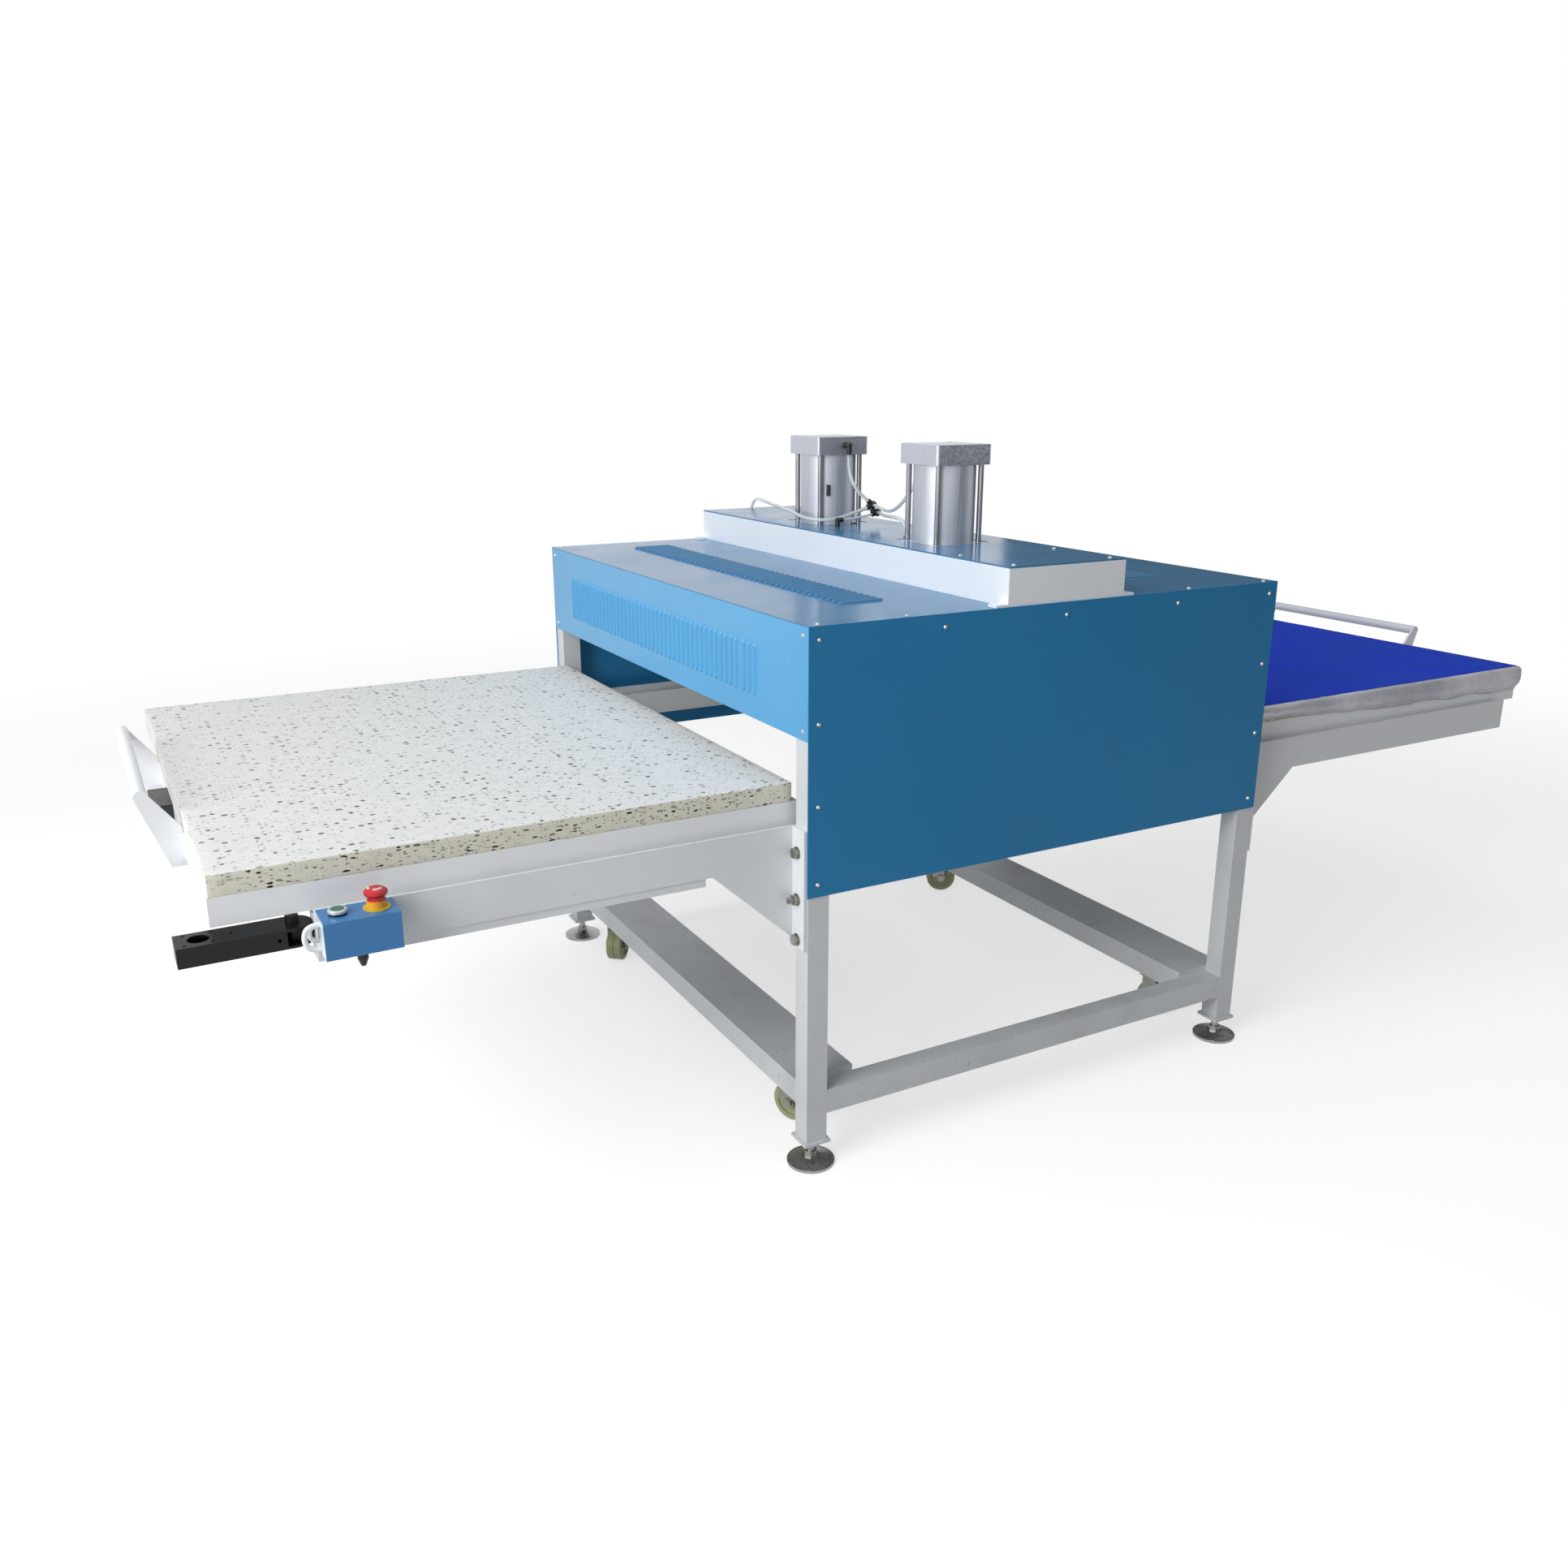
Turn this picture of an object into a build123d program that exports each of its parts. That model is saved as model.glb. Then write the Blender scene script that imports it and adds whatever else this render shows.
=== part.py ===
from build123d import *
from math import cos, pi, radians, sin, sqrt, tan
import os

# Two-station pneumatic heat press. X is the way the tables travel, the blank side panel with the
# switch box beside it faces -Y, +Z is up. The origin lies on the floor under the cabin's middle.
# Lengths are in millimetres.

os.makedirs("parts", exist_ok=True)

UP = (Align.CENTER, Align.CENTER, Align.MIN)

# Tables and platen share these sizes
pad_long = 1000.0
pad_wide = 1200.0
pad_thick = 37.0

# Cabin
sheet = 2.0  # cover thickness
tube = 45.0  # square tube of the legs and top rails
wall = 3.0
end_room = 28.0  # between the platen's end and the legs
side_room = 18.0  # between a table's side and the legs

leg_in_x = pad_long / 2 + end_room
leg_in_y = pad_wide / 2 + side_room
leg_x = leg_in_x + tube  # outer faces of the legs
leg_y = leg_in_y + tube
cabin_x = leg_x + sheet  # outer faces of the louvred fascias
cabin_y = leg_y + sheet  # outer faces of the side panels
foot_x = leg_x - tube / 2
foot_y = leg_y - tube / 2

# Tables along X
pad_end = leg_x - 1  # inner end of the pads with both tables pulled out
tray_in = pad_end - 13
tray_out = pad_end + pad_long + 1
tray_skin = 6.0
tray_wall = 4.0
travel = pad_end + pad_long / 2  # how far a table slides to stand under the platen

# Wheelsets
wheel_r = 18.0
wheel_gap = 0.3
wheel_wide = 16.0
shaft_r = 8.0
run_fit = 0.05
wheel_inner = tray_in + 81
wheel_outer = tray_out - 193

# Beams and tracks
beam_low = 628.0
beam_high = 60.0
guide_lip = 12.0  # how far the guide plate stands above the track
guide_skin = 6.0
track_wide = 40.0
track_top = beam_low + beam_high
guide_top = track_top + guide_lip
track_out = leg_in_y
track_mid = track_out - guide_skin
track_in = track_mid - track_wide
left_end = wheel_outer + 46
right_end = wheel_outer + 130
gusset_start = leg_x + 172
gusset_foot = beam_low - 150
flange = 8.0
flange_low = gusset_foot - 13

# Heights of tray and pad
tray_deep = 47.0
tray_low = track_top + 6
tray_top = tray_low + tray_deep
pad_top = tray_top + pad_thick

# Press, from the platen up to the cylinders
stroke = 84.0
pressed_gap = 4.0  # left for the cloth and the goods between pad and platen
platen_thick = 25.0
blanket_thick = 30.0
cover_skin = 1.5
bearer_high = 40.0
pad_plate = 15.0
platen_low = pad_top + stroke + pressed_gap
plate_top = platen_low + platen_thick
blanket_top = plate_top + blanket_thick
cover_top = blanket_top + cover_skin
bearer_top = cover_top + bearer_high
ram_low = bearer_top + pad_plate

fascia_low = platen_low + 1
side_low = beam_low - 58
cabin_top = ram_low + 97.5
rail_top = cabin_top - sheet

cyl_y = 245.0
cyl_long = 248.0
cap_high = 42.0
bore_r = 62.5
barrel_wall = 4.5
barrel_r = bore_r + barrel_wall
cap_size = 2 * (barrel_r + 3)
cyl_low = cabin_top + 32
cyl_top = cyl_low + cyl_long
beam_half = 143.0
box_top = cabin_top + 75
box_plate = 3.0


def block(x0, x1, y0, y1, z0, z1, mode=Mode.ADD):
    """A box between two corners."""
    with Locations(((x0 + x1) / 2, (y0 + y1) / 2, (z0 + z1) / 2)):
        Box(x1 - x0, y1 - y0, z1 - z0, mode=mode)


def post(x, y, z0, z1, r, mode=Mode.ADD):
    """An upright cylinder."""
    with Locations((x, y, z0)):
        Cylinder(r, z1 - z0, align=UP, mode=mode)


def along_y(x, z, y0, y1, r, mode=Mode.ADD):
    """A cylinder that lies along Y."""
    with Locations((x, (y0 + y1) / 2, z)):
        Cylinder(r, y1 - y0, rotation=(90, 0, 0), mode=mode)


def along_x(y, z, x0, x1, r, mode=Mode.ADD):
    """A cylinder that lies along X."""
    with Locations(((x0 + x1) / 2, y, z)):
        Cylinder(r, x1 - x0, rotation=(0, 90, 0), mode=mode)


def span(s, a, b):
    """The interval from a to b, mirrored when s is -1, low end first."""
    return (a, b) if s > 0 else (-b, -a)


def save(name, *builders):
    """Write one node. Welded pieces from several builders stay separate solids, face to face."""
    node = builders[0].part
    if len(builders) > 1:
        node = Compound(children=[solid for builder in builders for solid in builder.part.solids()])
    node.label = name
    export_step(node, f"parts/{name}.step")
    print(name, round(node.volume), len(node.solids()))


corners = [(-1, -1), (-1, 1), (1, -1), (1, 1)]

# Legs: four square tubes, each on a drilled foot plate.
plate_low = 50.0
plate_thick = 6.0
plate_half = tube / 2 + 6
stem_r = 8.0
with BuildPart() as legs:
    for sx, sy in corners:
        x, y = sx * foot_x, sy * foot_y
        half = tube / 2
        block(x - half, x + half, y - half, y + half, plate_low, rail_top)
        inner = half - wall
        block(x - inner, x + inner, y - inner, y + inner, plate_low + plate_thick, rail_top - wall,
              Mode.SUBTRACT)
        block(x - plate_half, x + plate_half, y - plate_half, y + plate_half,
              plate_low, plate_low + plate_thick)
        post(x, y, plate_low, plate_low + plate_thick, stem_r, Mode.SUBTRACT)
save("legs", legs)

# Base rails: two wide flat tubes along Y that carry the casters, two narrow ones along X.
end_wide = 130.0
end_low, end_top = 125.0, 175.0
side_rail_low, side_rail_top = 112.0, 162.0
with BuildPart() as base_rails:
    for s in (-1, 1):
        x0, x1 = span(s, leg_x - end_wide, leg_x)
        block(x0, x1, -leg_in_y, leg_in_y, end_low, end_top)
        block(x0 + wall, x1 - wall, 2 * wall - leg_in_y, leg_in_y - 2 * wall, end_low + wall, end_top - wall,
              Mode.SUBTRACT)
        y0, y1 = span(s, leg_in_y, leg_y)
        block(-leg_in_x, leg_in_x, y0, y1, side_rail_low, side_rail_top)
        block(2 * wall - leg_in_x, leg_in_x - 2 * wall, y0 + wall, y1 - wall, side_rail_low + wall,
              side_rail_top - wall, Mode.SUBTRACT)
save("base_rails", base_rails)

# Top rails: a ring of square tube between the leg tops.
with BuildPart() as top_rails:
    for s in (-1, 1):
        x0, x1 = span(s, leg_in_x, leg_x)
        block(x0, x1, -leg_in_y, leg_in_y, rail_top - tube, rail_top)
        block(x0 + wall, x1 - wall, 2 * wall - leg_in_y, leg_in_y - 2 * wall, rail_top - tube + wall,
              rail_top - wall, Mode.SUBTRACT)
        y0, y1 = span(s, leg_in_y, leg_y)
        block(-leg_in_x, leg_in_x, y0, y1, rail_top - tube, rail_top)
        block(2 * wall - leg_in_x, leg_in_x - 2 * wall, y0 + wall, y1 - wall, rail_top - tube + wall,
              rail_top - wall, Mode.SUBTRACT)
save("top_rails", top_rails)

# Levelling feet: a pressed disc, a hexagon for the spanner and a threaded stem.
disc_r = 47.5
hex_r = 13.5
with BuildPart() as levelling_feet:
    for sx, sy in corners:
        x, y = sx * foot_x, sy * foot_y
        post(x, y, 0, 6, disc_r)
        with Locations((x, y, 6)):
            Cone(disc_r - 3, 18, 8, align=UP)
        with BuildSketch(Plane.XY.offset(14)):
            with Locations((x, y)):
                RegularPolygon(hex_r, 6)
        extrude(amount=12)
        post(x, y, 26, plate_low + 30, stem_r)
save("levelling_feet", levelling_feet)

# Casters: a swivel plate under each end rail, a fork that turns under it and a twin-tread wheel.
caster_x = leg_x - end_wide / 2
caster_y = leg_y - 203
cup_low = end_low - 17
caster_trail = 25.0
caster_r = 42.0
caster_axle_z = 45.0
caster_half = 20.0
fork_gap = 0.5
fork_skin = 4.0
axle_r = 5.0
king_r = 6.0
casters = [(-1, -1, 25.0), (-1, 1, -40.0), (1, -1, 15.0), (1, 1, 60.0)]
with BuildPart() as caster_plates:
    for sx, sy, _ in casters:
        x, y = sx * caster_x, sy * caster_y
        block(x - 45, x + 45, y - 35, y + 35, end_low - 5, end_low)
        post(x, y, cup_low, end_low - 5, 26)
        post(x, y, cup_low, cup_low + 8, king_r, Mode.SUBTRACT)
save("caster_plates", caster_plates)

for n, (sx, sy, turn) in enumerate(casters, 1):
    place = Location((sx * caster_x, sy * caster_y, 0), (0, 0, turn))
    reach = caster_half + fork_gap
    with BuildPart() as fork:
        with Locations(place):
            with Locations((0, 0, cup_low - 6)):
                Cylinder(24, 6, align=UP)
            with Locations((0, 0, cup_low)):
                Cylinder(king_r - run_fit, 7, align=UP)
            with Locations((0, -caster_trail / 2, cup_low - 9)):
                Box(2 * (reach + fork_skin), 44, 6)
            for side in (-1, 1):
                with Locations((side * (reach + fork_skin / 2), -caster_trail / 2 - 4, caster_axle_z + 2)):
                    Box(fork_skin, 36, cup_low - 13 - caster_axle_z, align=UP)
                with Locations((side * (reach + fork_skin / 2), -caster_trail, caster_axle_z)):
                    Cylinder(13, fork_skin, rotation=(0, 90, 0))
                with Locations((side * (reach + fork_skin + 3), -caster_trail, caster_axle_z)):
                    Cylinder(9, 6, rotation=(0, 90, 0))
            with Locations((0, -caster_trail, caster_axle_z)):
                Cylinder(axle_r, 2 * reach + 2, rotation=(0, 90, 0))
    save(f"caster_fork_{n}", fork)
    with BuildPart() as wheel:
        with Locations(place):
            with Locations((0, -caster_trail, caster_axle_z)):
                Cylinder(caster_r, 2 * caster_half, rotation=(0, 90, 0))
        fillet(wheel.edges().filter_by(GeomType.CIRCLE), 4)
        with Locations(place):
            with Locations((0, -caster_trail, caster_axle_z)):
                with Locations(Location((0, 0, 0), (0, 90, 0))):
                    Torus(caster_r, 2.0, mode=Mode.SUBTRACT)
            for side in (-1, 1):
                with Locations((side * caster_half, -caster_trail, caster_axle_z)):
                    Cylinder(30, 8, rotation=(0, 90, 0), mode=Mode.SUBTRACT)
                with Locations((side * (caster_half - 3), -caster_trail, caster_axle_z)):
                    Cylinder(11, 6, rotation=(0, 90, 0))
            with Locations((0, -caster_trail, caster_axle_z)):
                Cylinder(axle_r + run_fit, 3 * caster_half, rotation=(0, 90, 0), mode=Mode.SUBTRACT)
    save(f"caster_wheel_{n}", wheel)

# Louvres: one pressed cowl, a half lens that stands off the sheet and is open along one side.
cowl_r = 8.0
cowl_sink = 3.5
cowl_skin = 1.2
cowl_wide = sqrt(cowl_r**2 - cowl_sink**2)
slot_wide = 6.0
slot_long = 88.0


def cowl(length):
    """A cowl along X on the plane z = 0, its mouth facing +Y, with its slot's cutter."""
    half = length / 2
    with BuildPart() as lens:
        for r, mode in ((cowl_r, Mode.ADD), (cowl_r - cowl_skin, Mode.SUBTRACT)):
            with Locations((0, cowl_wide, -cowl_sink)):
                Cylinder(r, length, rotation=(0, 90, 0), mode=mode)
            for s in (-1, 1):
                with Locations((s * half, cowl_wide, -cowl_sink)):
                    Sphere(r, mode=mode)
        block(-half - 20, half + 20, -20, 40, -20, -0.5, Mode.SUBTRACT)
        block(-half - 20, half + 20, cowl_wide, 40, -20, 20, Mode.SUBTRACT)
    with BuildPart() as cutter:
        block(-half, half, cowl_wide - slot_wide, cowl_wide, -sheet - 1, 0.01)
    return lens.part, cutter.part


lens, cutter = cowl(slot_long)
louvres = 44
louvre_first = leg_y - 151
louvre_last = 197 - leg_y
louvre_break = 9.0
louvre_z = fascia_low + 96.5
break_at = louvres - 3
louvre_pitch = (louvre_first - louvre_last - louvre_break) / (louvres - 1)
louvre_ys = [louvre_first - n * louvre_pitch - (louvre_break if n >= break_at else 0) for n in range(louvres)]

# Where the pan-head screws sit, as (x, y) or (y, z) or (x, z) pairs on each cover.
edge = 21.5
fascia_screws = [(s * (leg_y - 20), z) for s in (-1, 1) for z in (fascia_low + 16, cabin_top - 19)]
screw_zs = (side_low + 24, side_low + 174, side_low + 328, cabin_top - 25)
side_screws = [(s * (cabin_x - edge), z) for s in (-1, 1) for z in screw_zs]
side_screws += [(x, cabin_top - 25) for x in (-286.0, 0.0, 291.0)]
top_xs = (26 - cabin_x, 213 - cabin_x, cabin_x - 242, cabin_x - 26)
top_screws = [(x, s * (leg_y - 14)) for s in (-1, 1) for x in top_xs]
box_screws = [(s * (beam_half - 24), t * y)
              for s in (-1, 1) for t in (-1, 1) for y in (leg_y - 20, leg_y - 189)]
screw_r = 2.0
head_r = 4.2
head_high = 2.4

# Louvred fascias over the table mouths, one at each end.
with BuildPart() as fascias:
    for s in (-1, 1):
        x0, x1 = span(s, leg_x, cabin_x)
        block(x0, x1, -leg_y, leg_y, fascia_low, rail_top)
        face = Plane(origin=(s * cabin_x, 0, louvre_z), x_dir=(0, 0, 1), z_dir=(s, 0, 0))
        with Locations(face):
            with Locations([(0, -s * y) for y in louvre_ys]):
                add(cutter, rotation=(0, 0, 0 if s < 0 else 180), mode=Mode.SUBTRACT)
            with Locations([(0, -s * y) for y in louvre_ys]):
                add(lens, rotation=(0, 0, 0 if s < 0 else 180))
        for y, z in fascia_screws:
            along_x(y, z, x0 - 1, x1 + 1, screw_r, Mode.SUBTRACT)
save("fascias", fascias)

# Plain side panels.
with BuildPart() as side_panels:
    for s in (-1, 1):
        y0, y1 = span(s, leg_y, cabin_y)
        block(-cabin_x, cabin_x, y0, y1, side_low, cabin_top)
        for x, z in side_screws:
            along_y(x, z, y0 - 1, y1 + 1, screw_r, Mode.SUBTRACT)
save("side_panels", side_panels)

# Top panels on each side of the crossbeam, with a louvred strip each.
top_louvres = 44
strip_x = cabin_x - 224
strip_first, strip_last = 183 - leg_y, leg_y - 139
top_ys = [strip_first + n * (strip_last - strip_first) / (top_louvres - 1) for n in range(top_louvres)]
with BuildPart() as top_panels:
    for s in (-1, 1):
        x0, x1 = span(s, beam_half, cabin_x)
        block(x0, x1, -leg_y, leg_y, rail_top, cabin_top)
        spots = [(s * strip_x, y, cabin_top) for y in top_ys]
        with Locations(spots):
            add(cutter, mode=Mode.SUBTRACT)
        with Locations(spots):
            add(lens)
        for x, y in top_screws:
            if x * s > 0:
                post(x, y, rail_top - 1, cabin_top + 1, screw_r, Mode.SUBTRACT)
save("top_panels", top_panels)


def pan_head(place):
    """A screw head on the local plane z = 0 with its shank through the sheet below."""
    with Locations(place):
        Cylinder(screw_r, sheet, align=(Align.CENTER, Align.CENTER, Align.MAX))
        Cone(head_r, head_r - 1.4, head_high, align=UP)


with BuildPart() as panel_screws:
    for s in (-1, 1):
        for y, z in fascia_screws:
            pan_head(Plane(origin=(s * cabin_x, y, z), z_dir=(s, 0, 0)).location)
        for x, z in side_screws:
            pan_head(Plane(origin=(x, s * cabin_y, z), z_dir=(0, s, 0)).location)
    for x, y in top_screws:
        pan_head(Location((x, y, cabin_top)))
    for x, y in box_screws:
        pan_head(Location((x, y, box_top)))
save("panel_screws", panel_screws)

# Crossbeam: a deep welded channel across the cabin that takes the pressing load.
beam_skin = 6.0
deck_low, deck_top = cyl_low - 12, cyl_low
bush_x, bush_y = 90.0, 120.0
bush_r = 20.0
rod_r = 16.0
seam_y = leg_y - 236
foot_long = 27.0
with BuildPart() as crossbeam:
    for s in (-1, 1):
        x0, x1 = span(s, beam_half - beam_skin, beam_half)
        block(x0, x1, -leg_y, leg_y, rail_top, box_top - box_plate)
        y0, y1 = span(s, leg_y - beam_skin, leg_y)
        block(-beam_half, beam_half, y0, y1, rail_top, box_top - box_plate)
        y0, y1 = span(s, leg_y - foot_long, leg_y)
        for t in (-1, 1):
            x0, x1 = span(t, beam_half - 1, beam_half + foot_long)
            block(x0, x1, y0, y1, cabin_top, cabin_top + 5)
    block(1 - beam_half, beam_half - 1, 1 - leg_y, leg_y - 1, deck_low, deck_top)
    for s in (-1, 1):
        post(0, s * cyl_y, deck_low - 1, deck_top + 1, rod_r + 10, Mode.SUBTRACT)
        for t in (-1, 1):
            post(t * bush_x, s * bush_y, deck_low - 1, deck_top + 1, bush_r, Mode.SUBTRACT)
            x0, x1 = span(t, beam_half - 0.8, beam_half + 1)
            block(x0, x1, s * seam_y - 0.8, s * seam_y + 0.8, cabin_top + 5, box_top, Mode.SUBTRACT)
save("crossbeam", crossbeam)

# Cover plate on the crossbeam, cut out round the cylinders and grommet holes.
cut_half = cap_size / 2 + 3
grommets = [(-30.0, -150.0), (24.0, 162.0), (-52.0, 112.0)]
grommet_r = 7.0
with BuildPart() as crossbeam_cover:
    block(-beam_half, beam_half, -leg_y, leg_y, box_top - box_plate, box_top)
    for s in (-1, 1):
        block(-cut_half, cut_half, s * cyl_y - cut_half, s * cyl_y + cut_half, box_top - 10, box_top + 10,
              Mode.SUBTRACT)
    for x, y in grommets:
        post(x, y, box_top - 10, box_top + 10, grommet_r - 2, Mode.SUBTRACT)
    for x, y in box_screws:
        post(x, y, box_top - 10, box_top + 10, screw_r, Mode.SUBTRACT)
save("crossbeam_cover", crossbeam_cover)

# Air cylinders: barrels, square end caps and four tie rods each.
barrel_low = cyl_low + cap_high
barrel_top = cyl_top - cap_high
with BuildPart() as cylinder_barrels:
    for s in (-1, 1):
        post(0, s * cyl_y, barrel_low, barrel_top, barrel_r)
        post(0, s * cyl_y, barrel_low, barrel_top, bore_r, Mode.SUBTRACT)
save("cylinder_barrels", cylinder_barrels)

cap_bevel = 6.0
tie_at = cap_size / 2 - 15
tie_r = 6.0
nut_r = 9.0
nut_sink = 9.0  # depth of the nuts' counterbores in the upper caps
with BuildPart() as cylinder_caps:
    for s in (-1, 1):
        for low in (cyl_low, barrel_top):
            with BuildSketch(Plane.XY.offset(low)):
                with Locations((0, s * cyl_y)):
                    RectangleRounded(cap_size, cap_size, cap_bevel)
            extrude(amount=cap_high)
        post(0, s * cyl_y, cyl_low, barrel_low, rod_r + run_fit, Mode.SUBTRACT)
        for a, b in corners:
            x, y = a * tie_at, s * cyl_y + b * tie_at
            post(x, y, cyl_top - nut_sink, cyl_top + 1, nut_r + 1, Mode.SUBTRACT)
save("cylinder_caps", cylinder_caps)

with BuildPart() as tie_rods:
    for s in (-1, 1):
        for a, b in corners:
            x, y = a * tie_at, s * cyl_y + b * tie_at
            post(x, y, barrel_low, barrel_top, tie_r)
            post(x, y, cyl_top - nut_sink, cyl_top - nut_sink + 7, nut_r)
save("tie_rods", tie_rods)

guide_r = 12.5
with BuildPart() as guide_bushes:
    for a, b in corners:
        x, y = a * bush_x, b * bush_y
        post(x, y, deck_low - 60, deck_top, bush_r)
        post(x, y, deck_top, deck_top + 6, bush_r + 10)
        post(x, y, deck_low - 70, deck_top + 10, guide_r + run_fit, Mode.SUBTRACT)
save("guide_bushes", guide_bushes)

# Platen: heated plate with bored-in elements, blanket, steel cover, bearers, rams and guide rods.
plate_x, plate_y = pad_long / 2, pad_wide / 2
heaters = 6
heater_edge = 80.0
heater_xs = [(plate_x - heater_edge) * (2 * n / (heaters - 1) - 1) for n in range(heaters)]
heater_r = 6.0
with BuildPart() as heat_plate:
    block(-plate_x, plate_x, -plate_y, plate_y, platen_low, plate_top)
    for x in heater_xs:
        along_y(x, platen_low + platen_thick / 2, -plate_y - 1, plate_y + 1, heater_r, Mode.SUBTRACT)
save("heat_plate", heat_plate)

with BuildPart() as heater_rods:
    for x in heater_xs:
        along_y(x, platen_low + platen_thick / 2, -plate_y - 6, plate_y + 6, heater_r)
save("heater_rods", heater_rods)

with BuildPart() as insulation:
    block(cover_skin - plate_x, plate_x - cover_skin, cover_skin - plate_y, plate_y - cover_skin, plate_top,
          blanket_top)
save("insulation", insulation)

with BuildPart() as platen_cover:
    block(-plate_x, plate_x, -plate_y, plate_y, plate_top, cover_top)
    block(cover_skin - plate_x, plate_x - cover_skin, cover_skin - plate_y, plate_y - cover_skin,
          plate_top - 1, blanket_top, Mode.SUBTRACT)
save("platen_cover", platen_cover)

bearer_y = plate_y - 40
with BuildPart() as platen_bearers:
    for s in (-1, 1):
        block(s * bush_x - 30, s * bush_x + 30, -bearer_y, bearer_y, cover_top, bearer_top)
        block(s * bush_x - 26, s * bush_x + 26, 4 - bearer_y, bearer_y - 4, cover_top + 4, bearer_top - 4,
              Mode.SUBTRACT)
    for s in (-1, 1):
        block(-130, 130, s * cyl_y - 60, s * cyl_y + 60, bearer_top, bearer_top + pad_plate)
save("platen_bearers", platen_bearers)

piston_top = barrel_top - 15
piston_low = piston_top - 40
with BuildPart() as piston_rods:
    for s in (-1, 1):
        post(0, s * cyl_y, ram_low, ram_low + 25, 30)
        post(0, s * cyl_y, ram_low + 25, piston_low, rod_r)
        post(0, s * cyl_y, piston_low, piston_top, bore_r - run_fit)
save("piston_rods", piston_rods)

with BuildPart() as guide_rods:
    for a, b in corners:
        post(a * bush_x, b * bush_y, bearer_top, box_top - box_plate - 2, guide_r)
save("guide_rods", guide_rods)

# Tracks through the cabin: a tube the wheels run over and an upright guide plate welded beside it.
with BuildPart() as track_tubes:
    for s in (-1, 1):
        y0, y1 = span(s, track_in, track_mid)
        block(-leg_x, leg_x, y0, y1, beam_low, track_top)
        block(wall - leg_x, leg_x - wall, y0 + wall, y1 - wall, beam_low + wall, track_top - wall,
              Mode.SUBTRACT)
with BuildPart() as track_guides:
    for s in (-1, 1):
        y0, y1 = span(s, track_mid, track_out)
        block(-leg_x, leg_x, y0, y1, beam_low, guide_top)
save("cabin_tracks", track_tubes, track_guides)

# Cantilevered beams outside the cabin: tube, guide plate with gusset, end flange bolted to the leg.
# Under the near left one runs a closed cable duct.
bolt_zs = (flange_low + 16, flange_low + 96, flange_low + 188)
bolt_y = leg_in_y + 18
bolt_r = 6.0
duct_low = beam_low - 16
duct_end = gusset_start + 12
duct_skin = 1.5
duct_back = 3.0  # how far it stands back from the beam's face
for side, sx, end in (("left", -1, left_end), ("right", 1, right_end)):
    with BuildPart() as beam_tubes:
        for sy in (-1, 1):
            x0, x1 = span(sx, leg_x, end)
            y0, y1 = span(sy, track_in, track_mid)
            block(x0, x1, y0, y1, beam_low, track_top)
            block(x0 + wall, x1 - wall, y0 + wall, y1 - wall, beam_low + wall, track_top - wall,
                  Mode.SUBTRACT)
    with BuildPart() as beam_webs:
        for sy in (-1, 1):
            _, y1 = span(sy, track_mid, track_out)
            with BuildSketch(Plane.XZ.offset(-y1)):
                with BuildLine():
                    Polyline(
                        (sx * (leg_x + flange), guide_top),
                        (sx * end, guide_top),
                        (sx * end, beam_low),
                        (sx * gusset_start, beam_low),
                        (sx * (leg_x + flange), gusset_foot),
                        close=True,
                    )
                make_face()
            extrude(amount=guide_skin)
    with BuildPart() as beam_flanges:
        for sy in (-1, 1):
            x0, x1 = span(sx, leg_x, leg_x + flange)
            y0, y1 = span(sy, track_mid, leg_y - 1)
            block(x0, x1, y0, y1, flange_low, guide_top)
            for z in bolt_zs:
                along_x(sy * bolt_y, z, x0 - 1, x1 + 1, bolt_r, Mode.SUBTRACT)
    welded = [beam_tubes, beam_webs, beam_flanges]
    if side == "left":
        with BuildPart() as duct:
            duct_y = duct_back - track_out
            block(-end, -duct_end, duct_y, -track_in, duct_low, beam_low)
            block(duct_skin - end, -duct_end - duct_skin, duct_y + duct_skin, -track_in - duct_skin,
                  duct_low + duct_skin, beam_low, Mode.SUBTRACT)
        welded.append(duct)
    save(f"beams_{side}", *welded)

# Bolts that hold the beam flanges to the legs. The middle one of each row is long, with a nut.
with BuildPart() as beam_bolts:
    for sx, sy in corners:
        for n, z in enumerate(bolt_zs):
            x0, x1 = span(sx, leg_x, leg_x + flange)
            along_x(sy * bolt_y, z, x0, x1, bolt_r)
            outer = Plane(origin=(sx * (leg_x + flange), sy * bolt_y, z), x_dir=(0, 1, 0), z_dir=(sx, 0, 0))
            with BuildSketch(outer):
                Circle(12)
            extrude(amount=2)
            with BuildSketch(outer.offset(2)):
                RegularPolygon(10.4, 6)
            extrude(amount=8)
            if n == 1:
                with BuildSketch(outer.offset(10)):
                    Circle(bolt_r)
                extrude(amount=9)
save("beam_bolts", beam_bolts)

# Trays: a flat top, a deep rim, cross ribs and the bearing blocks of the wheelsets.
axle_z = track_top + wheel_gap + wheel_r
block_y0, block_y1 = track_in - 22, track_in - 4
rib_xs = (tray_in + 301, tray_out - 433)


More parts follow.
